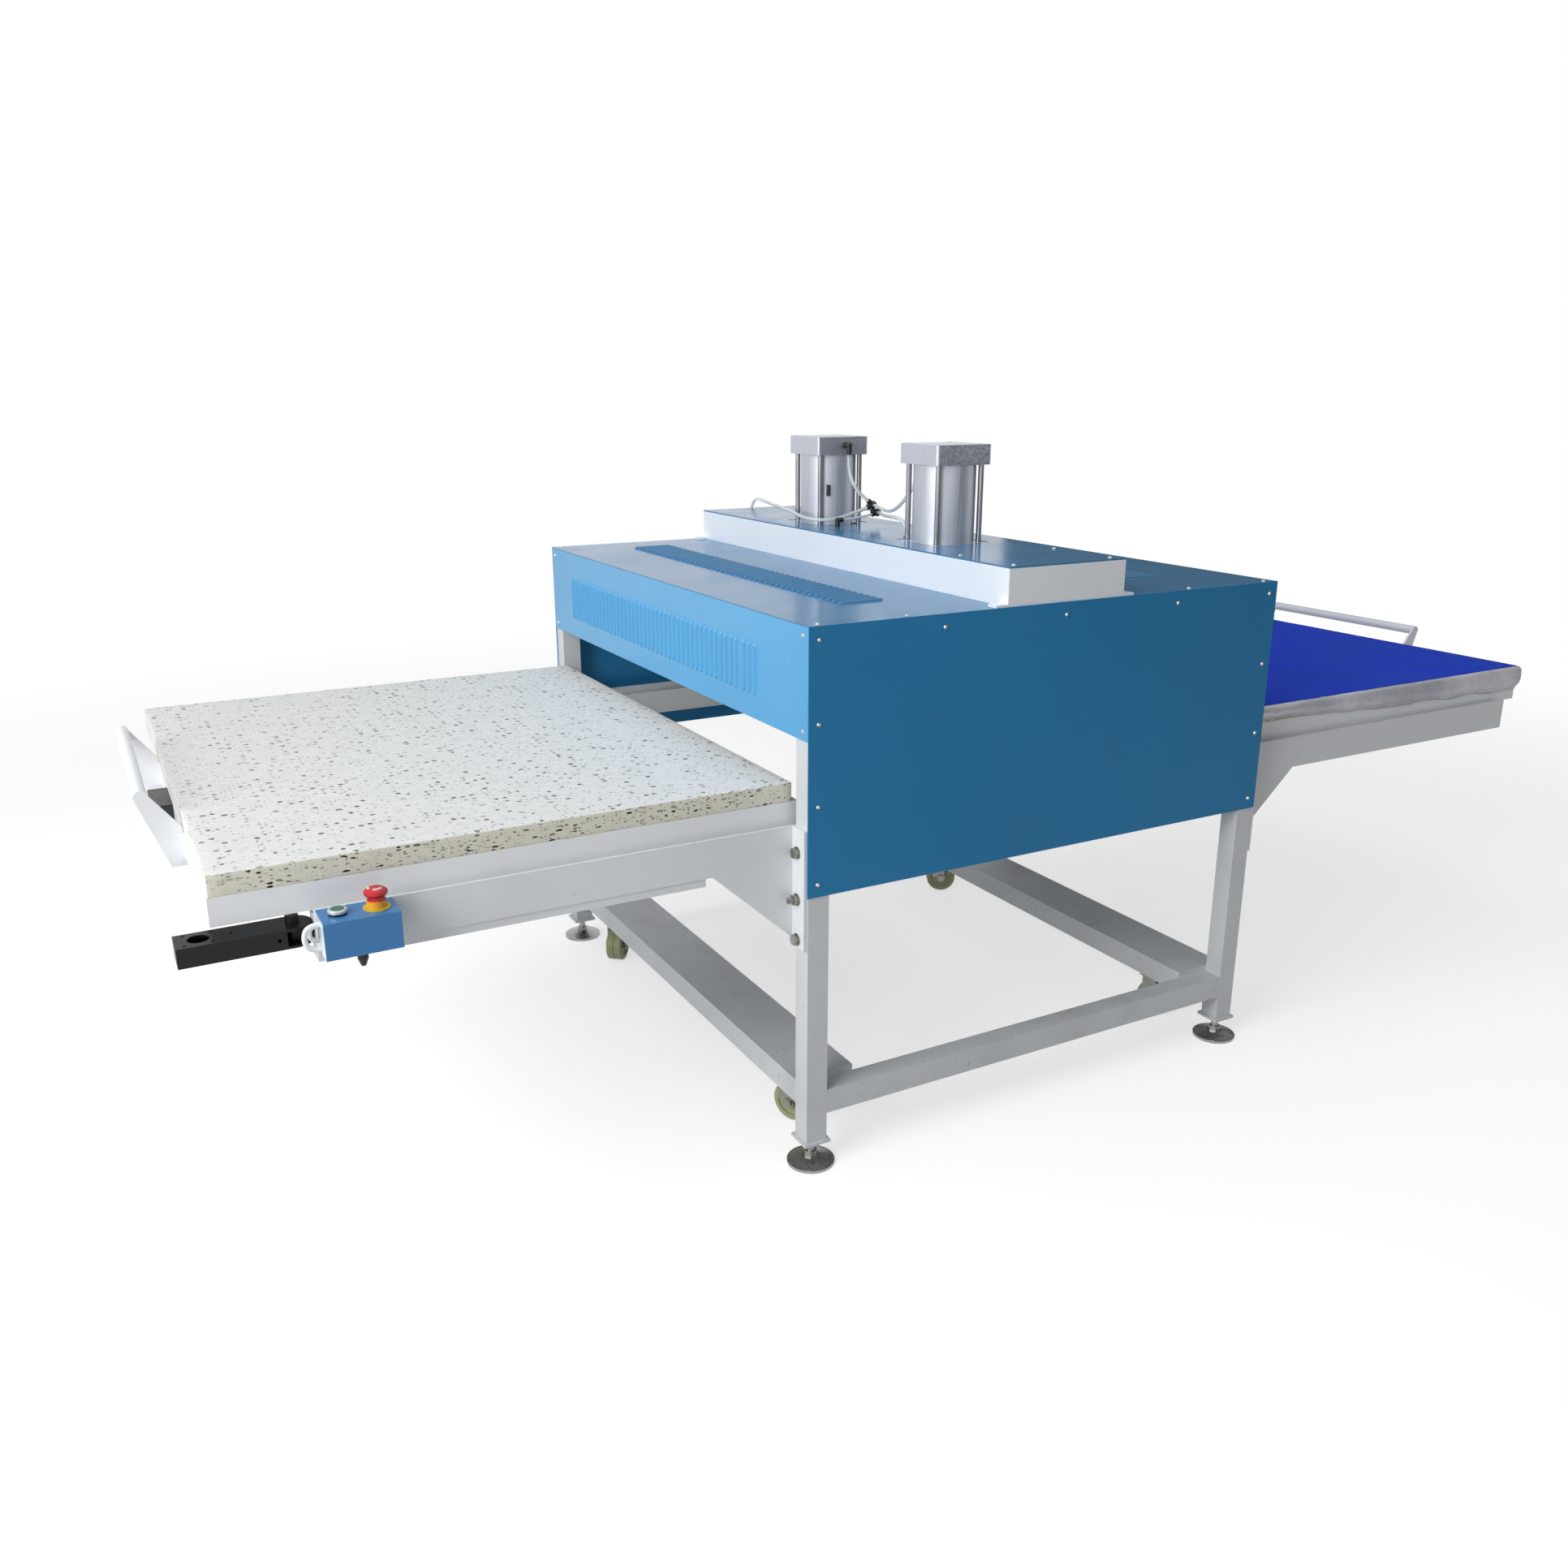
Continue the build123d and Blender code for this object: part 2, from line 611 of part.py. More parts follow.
def tray(s):
    """One sliding tray, s = -1 for the left table."""
    x0, x1 = span(s, tray_in, tray_out)
    half = pad_wide / 2
    block(x0, x1, -half, half, tray_low, tray_top)
    block(x0 + tray_wall, x1 - tray_wall, tray_wall - half, half - tray_wall,
          tray_low - 1, tray_top - tray_skin, Mode.SUBTRACT)
    for x in rib_xs:
        block(s * x - 20, s * x + 20, tray_wall - half, half - tray_wall, tray_low + 22, tray_top - tray_skin)
    for x in (wheel_inner, wheel_outer):
        for t in (-1, 1):
            y0, y1 = span(t, block_y0, block_y1)
            block(s * x - 20, s * x + 20, y0, y1, track_top + 4, tray_top - tray_skin)
            along_y(s * x, axle_z, y0 - 1, y1 + 1, shaft_r + run_fit, Mode.SUBTRACT)


with BuildPart() as tray_left:
    tray(-1)
save("tray_left", tray_left)
with BuildPart() as tray_right:
    tray(1)
save("tray_right", tray_right)

# Foam pads bonded on the trays.
with BuildPart() as pad_left:
    block(-pad_end - pad_long, -pad_end, -pad_wide / 2, pad_wide / 2, tray_top, pad_top)
save("pad_left", pad_left)
with BuildPart() as pad_right:
    block(pad_end, pad_end + pad_long, -pad_wide / 2, pad_wide / 2, tray_top, pad_top)
save("pad_right", pad_right)

# Wheelsets: a shaft across the tray with a roller on each end.
wheel_out = block_y1 + 8 + wheel_wide
for side, s in (("left", -1), ("right", 1)):
    for spot, x in (("inner", wheel_inner), ("outer", wheel_outer)):
        with BuildPart() as wheelset:
            along_y(s * x, axle_z, -wheel_out + 1, wheel_out - 1, shaft_r)
            for t in (-1, 1):
                y0, y1 = span(t, wheel_out - wheel_wide, wheel_out)
                along_y(s * x, axle_z, y0, y1, wheel_r)
        save(f"wheelset_{side}_{spot}", wheelset)

# Pull handles: two raked cheeks and a round grip.
grip_r = 11.5
grip_x = tray_out + 57.5
grip_z = tray_top + 71
cheek_y = 253.0
cheek = 6.0


def handle(s):
    """One handle on the outer end of a tray."""
    for t in (-1, 1):
        y0, y1 = span(t, cheek_y - cheek, cheek_y)
        with BuildSketch(Plane.XZ.offset(-y1)) as side:
            with BuildLine():
                Polyline(
                    (s * tray_out, tray_top + 10),
                    (s * (grip_x - grip_r + 2), grip_z + 4),
                    (s * grip_x, grip_z + grip_r - 2),
                    (s * (grip_x + grip_r - 1), grip_z - 4),
                    (s * (tray_out + 24), tray_low - 12),
                    (s * tray_out, tray_low - 12),
                    close=True,
                )
            make_face()
        extrude(side.sketch, amount=cheek)
    along_y(s * grip_x, grip_z, -cheek_y, cheek_y, grip_r)


with BuildPart() as handle_left:
    handle(-1)
save("handle_left", handle_left)
with BuildPart() as handle_right:
    handle(1)
save("handle_right", handle_right)

# Latch block on the left tray, between the handle's cheeks.
with BuildPart() as latch_left:
    block(-tray_out - 35, -tray_out, -60, 60, tray_low + 5, tray_low + 44)
    along_x(0, tray_low + 24, -tray_out - 41, -tray_out - 35, 8)
save("latch_left", latch_left)

# Fitted cloth over the right pad: a flat top and a skirt, longest at the outer end.
cloth = 2.0
cloth_gap = 0.3
cloth_top = pad_top + cloth_gap + cloth
skirt_in, skirt_mid, skirt_out = pad_top - 24, pad_top - 50, pad_top - 58
skirt_turn = pad_end + 490
end_skirt = pad_top - 20
with BuildPart() as cloth_right:
    x0, x1 = pad_end - cloth_gap, pad_end + pad_long + cloth_gap
    yh = pad_wide / 2 + cloth_gap
    with BuildSketch(Plane.XZ.offset(-yh - cloth)):
        with BuildLine():
            Polyline(
                (x0 - cloth, cloth_top),
                (x1 + cloth, cloth_top),
                (x1 + cloth, skirt_out),
                (skirt_turn, skirt_mid),
                (x0 - cloth, skirt_in),
                close=True,
            )
        make_face()
    extrude(amount=2 * (yh + cloth))
    block(x0, x1, -yh, yh, skirt_out - 1, pad_top + cloth_gap, Mode.SUBTRACT)
    for a, b in ((x0 - cloth - 1, x0 + 1), (x1 - 1, x1 + cloth + 1)):
        block(a, b, -yh, yh, skirt_out - 1, end_skirt, Mode.SUBTRACT)
save("cloth_right", cloth_right)

# Switch box on the near left beam.
box_x0, box_x1 = 1 - left_end, 118 - left_end
box_y0 = -track_out - 68
box_z0, box_z1 = beam_low + 12, beam_low + 72
box_skin = 1.5
button_at = (box_x0 + 29, -track_out - 32)
stop_at = (box_x0 + 88, -track_out - 32)
gland_at = (box_x0 + 59, -track_out - 37)
thread_r = 11.0
with BuildPart() as control_box:
    block(box_x0, box_x1, box_y0, -track_out, box_z0, box_z1)
    block(box_x0 + box_skin, box_x1 - box_skin, box_y0 + box_skin, -track_out + 1, box_z0 + box_skin,
          box_z1 - box_skin, Mode.SUBTRACT)
    for x, y in (button_at, stop_at):
        post(x, y, box_z1 - 5, box_z1 + 5, thread_r, Mode.SUBTRACT)
    post(*gland_at, box_z0 - 5, box_z0 + 5, 8, Mode.SUBTRACT)
save("control_box", control_box)

cap_r = 10.5
press = 4.0
with BuildPart() as button_bezel:
    post(*button_at, box_z1 - 22, box_z1, thread_r)
    post(*button_at, box_z1, box_z1 + 3.5, 14.0)
    post(*button_at, box_z1 + 3.5, box_z1 + 9, 14.8)
    chamfer(button_bezel.faces().sort_by(Axis.Z)[-1].edges(), 1.6)
    post(*button_at, box_z1 - 6, box_z1 + 20, cap_r, Mode.SUBTRACT)
    post(*button_at, box_z1 - 19, box_z1 + 20, 4.05, Mode.SUBTRACT)
save("button_bezel", button_bezel)

with BuildPart() as green_button:
    post(*button_at, box_z1 - 1, box_z1 + 10, cap_r - 2 * run_fit)
    chamfer(green_button.faces().sort_by(Axis.Z)[-1].edges(), 1)
    post(*button_at, box_z1 - 14, box_z1 - 1, 4)
save("green_button", green_button)

stop_press = 5.0
with BuildPart() as estop_collar:
    post(*stop_at, box_z1 - 18, box_z1, thread_r)
    post(*stop_at, box_z1, box_z1 + 1.5, 21.5)
    with Locations((*stop_at, box_z1 + 1.5)):
        Cone(15.8, 15.2, 11.5, align=UP)
    post(*stop_at, box_z1 + 1.5, box_z1 + 20, 14.2, Mode.SUBTRACT)
    post(*stop_at, box_z1 - 20, box_z1 + 20, 8, Mode.SUBTRACT)
save("estop_collar", estop_collar)

with BuildPart() as estop_stem:
    post(*stop_at, box_z1 - 12, box_z1 + 7, 8 - run_fit)
    post(*stop_at, box_z1 + 7, box_z1 + 24, 4)
save("estop_stem", estop_stem)

head_low = box_z1 + 7
stop_r, stop_top, dome_r = 18.5, 28.0, 25.5


def dome(x):
    """Height of the mushroom's dome over its foot."""
    return stop_top - dome_r + sqrt(dome_r**2 - x**2)


with BuildPart() as estop_head:
    with BuildSketch(Plane(origin=(*stop_at, head_low), x_dir=(1, 0, 0), z_dir=(0, -1, 0))):
        with BuildLine():
            Polyline((0, stop_top), (0, 0), (13.9, 0), (13.9, 11.5), (17.6, 15), (stop_r, 17),
                     (stop_r, dome(stop_r)))
            ThreePointArc((stop_r, dome(stop_r)), (11.5, dome(11.5)), (0, stop_top))
        make_face()
    revolve(axis=Axis((*stop_at, 0), (0, 0, 1)))
    post(*stop_at, head_low, head_low + 18, 4.05, Mode.SUBTRACT)
save("estop_head", estop_head)

# Glands: under the switch box, and the power and air inlets on the back panel.
power_x, air_x, inlet_z = -300.0, -220.0, side_low + 50
nipple_r = 6.0
nipple_out = 16.0
inlet_nut = 6.0
with BuildPart() as cable_glands:
    with BuildSketch(Plane.XY.offset(box_z0 - 6)):
        with Locations(gland_at):
            RegularPolygon(11.5, 6)
    extrude(amount=6)
    post(*gland_at, box_z0 - 18, box_z0 - 6, 8.6)
    with Locations((*gland_at, box_z0 - 30)):
        Cone(4, 8.6, 12, align=UP)
    post(*gland_at, box_z0, box_z0 + 8, 8)
    for x, r in ((power_x, 10.0), (air_x, nipple_r)):
        with BuildSketch(Plane(origin=(x, cabin_y, inlet_z), x_dir=(1, 0, 0), z_dir=(0, 1, 0))):
            RegularPolygon(r + 4, 6)
        extrude(amount=inlet_nut)
        along_y(x, inlet_z, cabin_y + inlet_nut, cabin_y + inlet_nut + nipple_out, r)
save("cable_glands", cable_glands)


def route(points, r):
    """A hose through the points: straight runs joined by the largest arcs the runs allow."""
    pts = [Vector(*p) for p in points]
    radii = []
    for a, b, c in zip(pts, pts[1:], pts[2:]):
        turn = radians((b - a).get_angle(c - b))
        radii.append(0.45 * min((b - a).length, (c - b).length) / tan(turn / 2))
    print("  radii", [round(v) for v in radii])
    with BuildLine() as path:
        FilletPolyline(*pts, radius=radii)
    with BuildSketch(Plane(origin=pts[0], z_dir=pts[1] - pts[0])) as bore:
        Circle(r)
    sweep(bore.sketch, path=path.wires()[0])
    return path.wires()[0].length * pi * r * r


# White cable loop at the switch box's outer end.
loop_y, loop_r = -track_out - 37, 4.5
slim_y, slim_r = -track_out - 22, 3.5
with BuildPart() as cable_loop:
    route([(box_x0, loop_y, 690), (box_x0 - 18, loop_y, 690), (box_x0 - 25, loop_y, 671),
           (box_x0 - 19, loop_y, 650), (box_x0, loop_y, 650)], loop_r)
    route([(box_x0, slim_y, 683), (box_x0 - 10, slim_y, 683), (box_x0 - 15, slim_y, 671),
           (box_x0 - 10, slim_y, 658), (box_x0, slim_y, 658)], slim_r)
save("cable_loop", cable_loop)

# Swivel arm for a control panel, on a lug at the near left beam's end.
arm_y = -track_in - track_wide / 2
pivot_x = -left_end - 30
arm_end = pivot_x - 169
arm_z0, arm_z1 = beam_low + 17, beam_low + 49
arm_half = 29.0
arm_skin = 4.0
pin_r = 6.0
stand_x = arm_end + 34
with BuildPart() as swivel_arm:
    for z in (arm_z0, arm_z1 - arm_skin):
        block(arm_end, pivot_x, arm_y - arm_half, arm_y + arm_half, z, z + arm_skin)
        post(pivot_x, arm_y, z, z + arm_skin, arm_half)
    block(arm_end, arm_end + arm_skin, arm_y - arm_half, arm_y + arm_half, arm_z0, arm_z1)
    for s in (-1, 1):
        y0, y1 = span(s, arm_half - arm_skin, arm_half)
        block(arm_end, pivot_x - 12, arm_y + y0, arm_y + y1, arm_z0, arm_z1)
    post(pivot_x, arm_y, arm_z0 - 1, arm_z1 + 1, pin_r + run_fit, Mode.SUBTRACT)
    post(stand_x, arm_y, arm_z1 - 10, arm_z1 + 1, 16, Mode.SUBTRACT)
    for a, b in corners:
        post(stand_x + a * 20, arm_y + b * 20, arm_z1 - 10, arm_z1 + 1, 2.5, Mode.SUBTRACT)
    post(arm_end + 80, arm_y, arm_z1 - 10, arm_z1 + 1, 3, Mode.SUBTRACT)
    along_y(pivot_x - 24, (arm_z0 + arm_z1) / 2, arm_y - arm_half - 1, arm_y - arm_half + arm_skin + 1, 3,
            Mode.SUBTRACT)
save("swivel_arm", swivel_arm)

lug_half = 10.0
with BuildPart() as arm_post:
    block(pivot_x, -left_end, arm_y - lug_half, arm_y + lug_half,
          arm_z0 + arm_skin + 0.3, arm_z1 - arm_skin - 0.3)
    post(pivot_x, arm_y, arm_z0 + arm_skin + 0.3, arm_z1 - arm_skin - 0.3, lug_half)
    post(pivot_x, arm_y, arm_z0 - 8, arm_z1 + 13, pin_r)
    post(pivot_x, arm_y, arm_z1 + 0.3, arm_z1 + 13, 10)
    post(pivot_x, arm_y, arm_z0 - 8, arm_z0 - 0.3, 10)
save("arm_post", arm_post)

# Position sensor strapped on the far barrel.
sensor_turn = 30.0
sensor_z = barrel_low + 81
with BuildPart() as cylinder_sensor:
    facing = (-sin(radians(sensor_turn)), -cos(radians(sensor_turn)), 0)
    with Locations(Plane(origin=(0, cyl_y, sensor_z), z_dir=facing)):
        with Locations((0, 0, barrel_r + 4)):
            Box(10, 26, 8)
    fillet(cylinder_sensor.edges().filter_by(Axis.Z), 2)
save("cylinder_sensor", cylinder_sensor)

# Valve block inside the cabin, on the back top rail beside the hose inlet.
with BuildPart() as valve_block:
    block(-30, 50, leg_in_y - 34, leg_in_y, rail_top - 42, rail_top - 8)
    for x in (-12.0, 12.0, 36.0):
        along_y(x, rail_top - 25, leg_in_y - 44, leg_in_y - 34, 6)
save("valve_block", valve_block)

# Air fittings: an elbow on each top cap, two grommets and an elbow on the cover plate, two joined tees,
# and a bulkhead elbow at the back edge.
port_z = cyl_top - cap_high / 2 + 2
elbow_out = 18.0
elbow_drop = 22.0
elbows = [(5.0, cyl_y - cap_size / 2, -1), (-5.0, -cyl_y + cap_size / 2, 1)]
grommet_high = 2.0
deck_elbow_z = box_top + 16
deck_elbow_out = 14.0
tee_a = Vector(52, 120, box_top + 47)
tee_b = Vector(60, 112, box_top + 29)
tee_r = 6.5
tee_reach = 16.0
tee_ways = [
    (tee_a, Vector(-26, 6, 20)),
    (tee_a, Vector(-24, 6, -10)),
    (tee_a, Vector(-8, -24, 0)),
    (tee_b, Vector(-12, -24, 2)),
    (tee_b, Vector(-24, 2, -6)),
    (tee_b, Vector(-12, 24, 8)),
]
back_x, back_y, back_z = 8.0, cabin_y + 12, cabin_top - 41
with BuildPart() as air_fittings:
    for x, y, s in elbows:
        y0, y1 = sorted((y, y + s * elbow_out))
        along_y(x, port_z, y0, y1, 8)
        with Locations((x, y + s * elbow_out, port_z)):
            Sphere(8)
        post(x, y + s * elbow_out, port_z - elbow_drop, port_z, 7)
    for x, y in grommets:
        post(x, y, box_top, box_top + grommet_high, grommet_r)
        post(x, y, box_top - box_plate, box_top, grommet_r - 2)
    x, y = grommets[2]
    post(x, y, box_top, deck_elbow_z, 6)
    with Locations((x, y, deck_elbow_z)):
        Sphere(6.5)
    along_x(y, deck_elbow_z, x, x + deck_elbow_out, 5.5)
    for c in (tee_a, tee_b):
        with Locations(c):
            Sphere(9.5)
    for c, way in tee_ways:
        with Locations(Plane(origin=c, z_dir=way).location):
            Cylinder(tee_r, tee_reach, align=UP)
    along_y(back_x, back_z, cabin_y, back_y, 9)
    with Locations((back_x, back_y, back_z)):
        Sphere(8)
    post(back_x, back_y, back_z, back_z + 20, 7)
save("air_fittings", air_fittings)


def mouth(n, more=0.0):
    """The point where a hose leaves way n of the tees, or a little beyond it."""
    c, way = tee_ways[n]
    p = c + way.normalized() * (tee_reach + more)
    return (p.X, p.Y, p.Z)


# Hoses between the fittings: four of 8 mm and two slimmer links near the tees.
hose_r = 4.0
link_r = 3.0
far_x, far_y, _ = elbows[0]
near_x, near_y, _ = elbows[1]
far_low = (far_x, far_y - elbow_out, port_z - elbow_drop)
near_low = (near_x, near_y + elbow_out, port_z - elbow_drop)
g1, g2 = [(x, y, box_top + grommet_high) for x, y in grommets[:2]]
deck_mouth = (grommets[2][0] + deck_elbow_out, grommets[2][1], deck_elbow_z)
hoses = [
    (hose_r, [far_low, (5, 157, 1304), (4.5, 154.4, 1284), (4.6, 147.9, 1264.7), (7.8, 139.4, 1246),
              (16.6, 130.9, 1228.4), mouth(0, 8), mouth(0)]),
    (hose_r, [mouth(1), mouth(1, 12), (4, 132, 1179), (-24, 135, 1170), (-52, 139, 1165), (-76, 149, 1164),
              (-91, 170, 1165), (-96, 198, 1167), (-92, 236, 1170), (-80, 285, 1173), (-64, 350, 1174),
              (-44, 430, 1175), (-22, 520, 1176), (-4, 596, 1177), (4, 622, 1176), (8, 640, 1176),
              (8, 657, 1169), (8, 670, 1156), (8, 677, 1139), (8.5, 678, 1122), (8, back_y, back_z + 56),
              (8, back_y, back_z + 20)]),
    (hose_r, [near_low, (-5, -157, 1294), (-15, -155, 1266), (-27, -146, 1240), (-29, -120, 1218),
              (-18, -80, 1204), (0, -34, 1196), (20, 14, 1193), (35, 60, 1194), mouth(2, 12), mouth(2)]),
    (hose_r, [mouth(3), mouth(3, 16), (26, 44, 1183), (8, 0, 1183), (-10, -48, 1186), (-23, -84, 1188),
              (-28.5, -106.8, 1188), (-29.5, -121.2, 1188), (-29.5, -134.4, 1182.5), (-29.7, -144.5, 1172.4),
              (-30, -150, 1159), g1]),
    (link_r, [mouth(4), mouth(4, 8), (18, 113, 1171), (-4, 112.4, 1168), (-26, 112, 1166), deck_mouth]),
    (link_r, [mouth(5), mouth(5, 6), (40.6, 145, 1183.6), (34.4, 152.2, 1178.8), (29.1, 157.5, 1171.6),
              (24, 162, 1159), g2]),
]
with BuildPart() as air_tubes:
    for r, points in hoses:
        volume = route(points, r)
        print("  hose", round(volume / (pi * r * r)), "mm long")
save("air_tubes", air_tubes)

print("stroke", stroke, "travel", travel, "wheel ratio", 1000 / wheel_r, "axle z", axle_z)
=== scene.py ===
import math

import bmesh
import bpy
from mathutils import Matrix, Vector, noise


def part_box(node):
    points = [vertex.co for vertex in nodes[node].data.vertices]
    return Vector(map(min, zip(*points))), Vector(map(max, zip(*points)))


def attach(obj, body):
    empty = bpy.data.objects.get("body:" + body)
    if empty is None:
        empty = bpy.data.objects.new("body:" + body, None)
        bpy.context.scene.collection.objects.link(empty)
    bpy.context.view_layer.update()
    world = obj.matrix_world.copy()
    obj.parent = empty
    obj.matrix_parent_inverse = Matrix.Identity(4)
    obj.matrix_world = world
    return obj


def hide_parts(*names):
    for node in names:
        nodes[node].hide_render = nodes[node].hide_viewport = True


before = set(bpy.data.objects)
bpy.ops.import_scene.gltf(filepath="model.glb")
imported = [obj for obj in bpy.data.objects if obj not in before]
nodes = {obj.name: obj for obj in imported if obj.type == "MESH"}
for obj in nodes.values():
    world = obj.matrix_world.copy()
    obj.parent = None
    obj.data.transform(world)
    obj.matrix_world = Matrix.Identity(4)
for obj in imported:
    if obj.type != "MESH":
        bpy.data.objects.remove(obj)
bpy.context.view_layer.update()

# The camera stands off the machine's near left corner, 1.5 m up, and looks down at it by 17 degrees.
# Its place was fitted to points of the machine in the photograph.
camera_lens, camera_sensor, camera_reach = 30.27, 36.0, 60.0
camera_spot = (-1.6994, -2.6220, 1.4770)
camera_heading = 28.78
camera_dip = 16.89
view = bpy.data.cameras.new("camera")
view.lens = camera_lens
view.sensor_width = camera_sensor
view.clip_end = camera_reach
camera = bpy.data.objects.new("camera", view)
camera.location = camera_spot
camera.rotation_euler = (math.radians(90 - camera_dip), 0, -math.radians(camera_heading))
bpy.context.scene.collection.objects.link(camera)
bpy.context.scene.camera = camera
bpy.context.scene.view_settings.view_transform = "Standard"


# A pale studio: an even sky that looks white, a broad window at the left that gives most of the light,
# a weaker lamp overhead, and a pale floor that holds the machine's shadow. Two grey screens at the right
# show only in reflections, as the far side of a workshop would.
def joined(tree, source, target):
    """Links one socket to another."""
    tree.links.new(source, target)


def seen_rays(tree):
    """1 on camera, glossy and transmission rays, 0 on the rest."""
    path = tree.nodes.new("ShaderNodeLightPath")
    value = path.outputs["Is Camera Ray"]
    for label in ("Is Glossy Ray", "Is Transmission Ray"):
        larger = tree.nodes.new("ShaderNodeMath")
        larger.operation = "MAXIMUM"
        joined(tree, value, larger.inputs[0])
        joined(tree, path.outputs[label], larger.inputs[1])
        value = larger.outputs[0]
    return value


sky_light = 0.30
floor_tone = 0.62
floor_glow = 0.60
floor_span = 60.0
fade_start, fade_end = 2.4, 5.5
# Each lamp's place, what it faces, its side and its power
lamps = {
    "window": ((-4.4, -1.7, 2.7), (-0.2, 0.0, 0.8), 3.0, 165.0),
    "overhead": ((-1.0, 0.6, 4.6), (-0.4, 0.0, 0.8), 3.0, 40.0),
}

sky = bpy.data.worlds.new("studio")
bpy.context.scene.world = sky
sky.use_nodes = True
tree = sky.node_tree
tree.nodes.clear()
strength = tree.nodes.new("ShaderNodeMapRange")
strength.inputs["To Min"].default_value = sky_light
strength.inputs["To Max"].default_value = 1.0
joined(tree, seen_rays(tree), strength.inputs["Value"])
white = tree.nodes.new("ShaderNodeBackground")
white.inputs["Color"].default_value = (1, 1, 1, 1)
joined(tree, strength.outputs[0], white.inputs["Strength"])
out = tree.nodes.new("ShaderNodeOutputWorld")
joined(tree, white.outputs[0], out.inputs["Surface"])

for name, (spot, aim, size, power) in lamps.items():
    lamp = bpy.data.lights.new(name, "AREA")
    lamp.size = size
    lamp.energy = power
    holder = bpy.data.objects.new(name, lamp)
    holder.location = spot
    holder.rotation_euler = (Vector(aim) - Vector(spot)).to_track_quat("-Z", "Y").to_euler()
    bpy.context.scene.collection.objects.link(holder)

bm = bmesh.new()
bmesh.ops.create_grid(bm, x_segments=1, y_segments=1, size=floor_span / 2)
mesh = bpy.data.meshes.new("floor")
bm.to_mesh(mesh)
bm.free()
floor = bpy.data.objects.new("floor", mesh)
bpy.context.scene.collection.objects.link(floor)
pale = bpy.data.materials.new("pale floor")
pale.use_nodes = True
tree = pale.node_tree
shader = tree.nodes["Principled BSDF"]
shader.inputs["Roughness"].default_value = 0.9
shader.inputs["Specular IOR Level"].default_value = 0.0
shader.inputs["Emission Color"].default_value = (1, 1, 1, 1)
spot = tree.nodes.new("ShaderNodeTexCoord")
reach = tree.nodes.new("ShaderNodeVectorMath")
reach.operation = "LENGTH"
joined(tree, spot.outputs["Object"], reach.inputs[0])
away = tree.nodes.new("ShaderNodeMapRange")
away.interpolation_type = "SMOOTHSTEP"
away.inputs["From Min"].default_value = fade_start
away.inputs["From Max"].default_value = fade_end
joined(tree, reach.outputs["Value"], away.inputs["Value"])
seen = seen_rays(tree)
for label, near, far in (("Base Color", floor_tone, 0.0), ("Emission Strength", floor_glow, 1.0)):
    blend = tree.nodes.new("ShaderNodeMapRange")
    blend.inputs["To Min"].default_value = near
    blend.inputs["To Max"].default_value = far
    joined(tree, away.outputs[0], blend.inputs["Value"])
    shown = tree.nodes.new("ShaderNodeMapRange")
    shown.inputs["To Min"].default_value = floor_tone if label == "Base Color" else 0.0
    joined(tree, blend.outputs[0], shown.inputs["To Max"])
    joined(tree, seen, shown.inputs["Value"])
    joined(tree, shown.outputs[0], shader.inputs[label])
mesh.materials.append(pale)

screen_grey = (0.20, 0.21, 0.22, 1)
# Each screen's two ends on the floor and its height
screens = {
    "front_screen": ((0.5, -3.3), (3.4, -2.5), 2.4),
    "back_screen": ((2.4, 2.6), (5.2, 1.2), 3.4),
}
dark = bpy.data.materials.new("dark screen")
dark.use_nodes = True
shader = dark.node_tree.nodes["Principled BSDF"]
shader.inputs["Base Color"].default_value = screen_grey
shader.inputs["Roughness"].default_value = 1.0
shader.inputs["Specular IOR Level"].default_value = 0.0
for name, (one_end, other_end, height) in screens.items():
    corners = [(*one_end, 0.0), (*other_end, 0.0), (*other_end, height), (*one_end, height)]
    mesh = bpy.data.meshes.new(name)
    mesh.from_pydata(corners, [], [(0, 1, 2, 3)])
    mesh.materials.append(dark)
    screen = bpy.data.objects.new(name, mesh)
    for ray in ("camera", "diffuse", "transmission", "shadow"):
        setattr(screen, f"visible_{ray}", False)
    bpy.context.scene.collection.objects.link(screen)


# Frame: legs, rails and the platen's bearers, welded from square and flat tube and sprayed in off-white
# enamel. The low rails are soiled. The enamel's clouding, soil and orange peel serve every painted piece.
def shade(code):
    """A linear colour from a six-figure code."""
    values = []
    for n in (0, 2, 4):
        c = int(code[n:n + 2], 16) / 255
        values.append(c / 12.92 if c < 0.04045 else ((c + 0.055) / 1.055) ** 2.4)
    return (*values, 1.0)


def new_group(name, inputs, outputs):
    """An empty shader group with its sockets, and its two end nodes."""
    group = bpy.data.node_groups.new(name, "ShaderNodeTree")
    for label, kind, value in inputs:
        socket = group.interface.new_socket(label, in_out="INPUT", socket_type=kind)
        socket.default_value = value
    for label, kind in outputs:
        group.interface.new_socket(label, in_out="OUTPUT", socket_type=kind)
    return group, group.nodes.new("NodeGroupInput"), group.nodes.new("NodeGroupOutput")


def figure(tree, operation, a, b=None, c=None):
    """A Math node on sockets or numbers, and its output."""
    node = tree.nodes.new("ShaderNodeMath")
    node.operation = operation
    for n, value in enumerate((a, b, c)):
        if value is None:
            continue
        if isinstance(value, (int, float)):
            node.inputs[n].default_value = value
        else:
            joined(tree, value, node.inputs[n])
    return node.outputs[0]


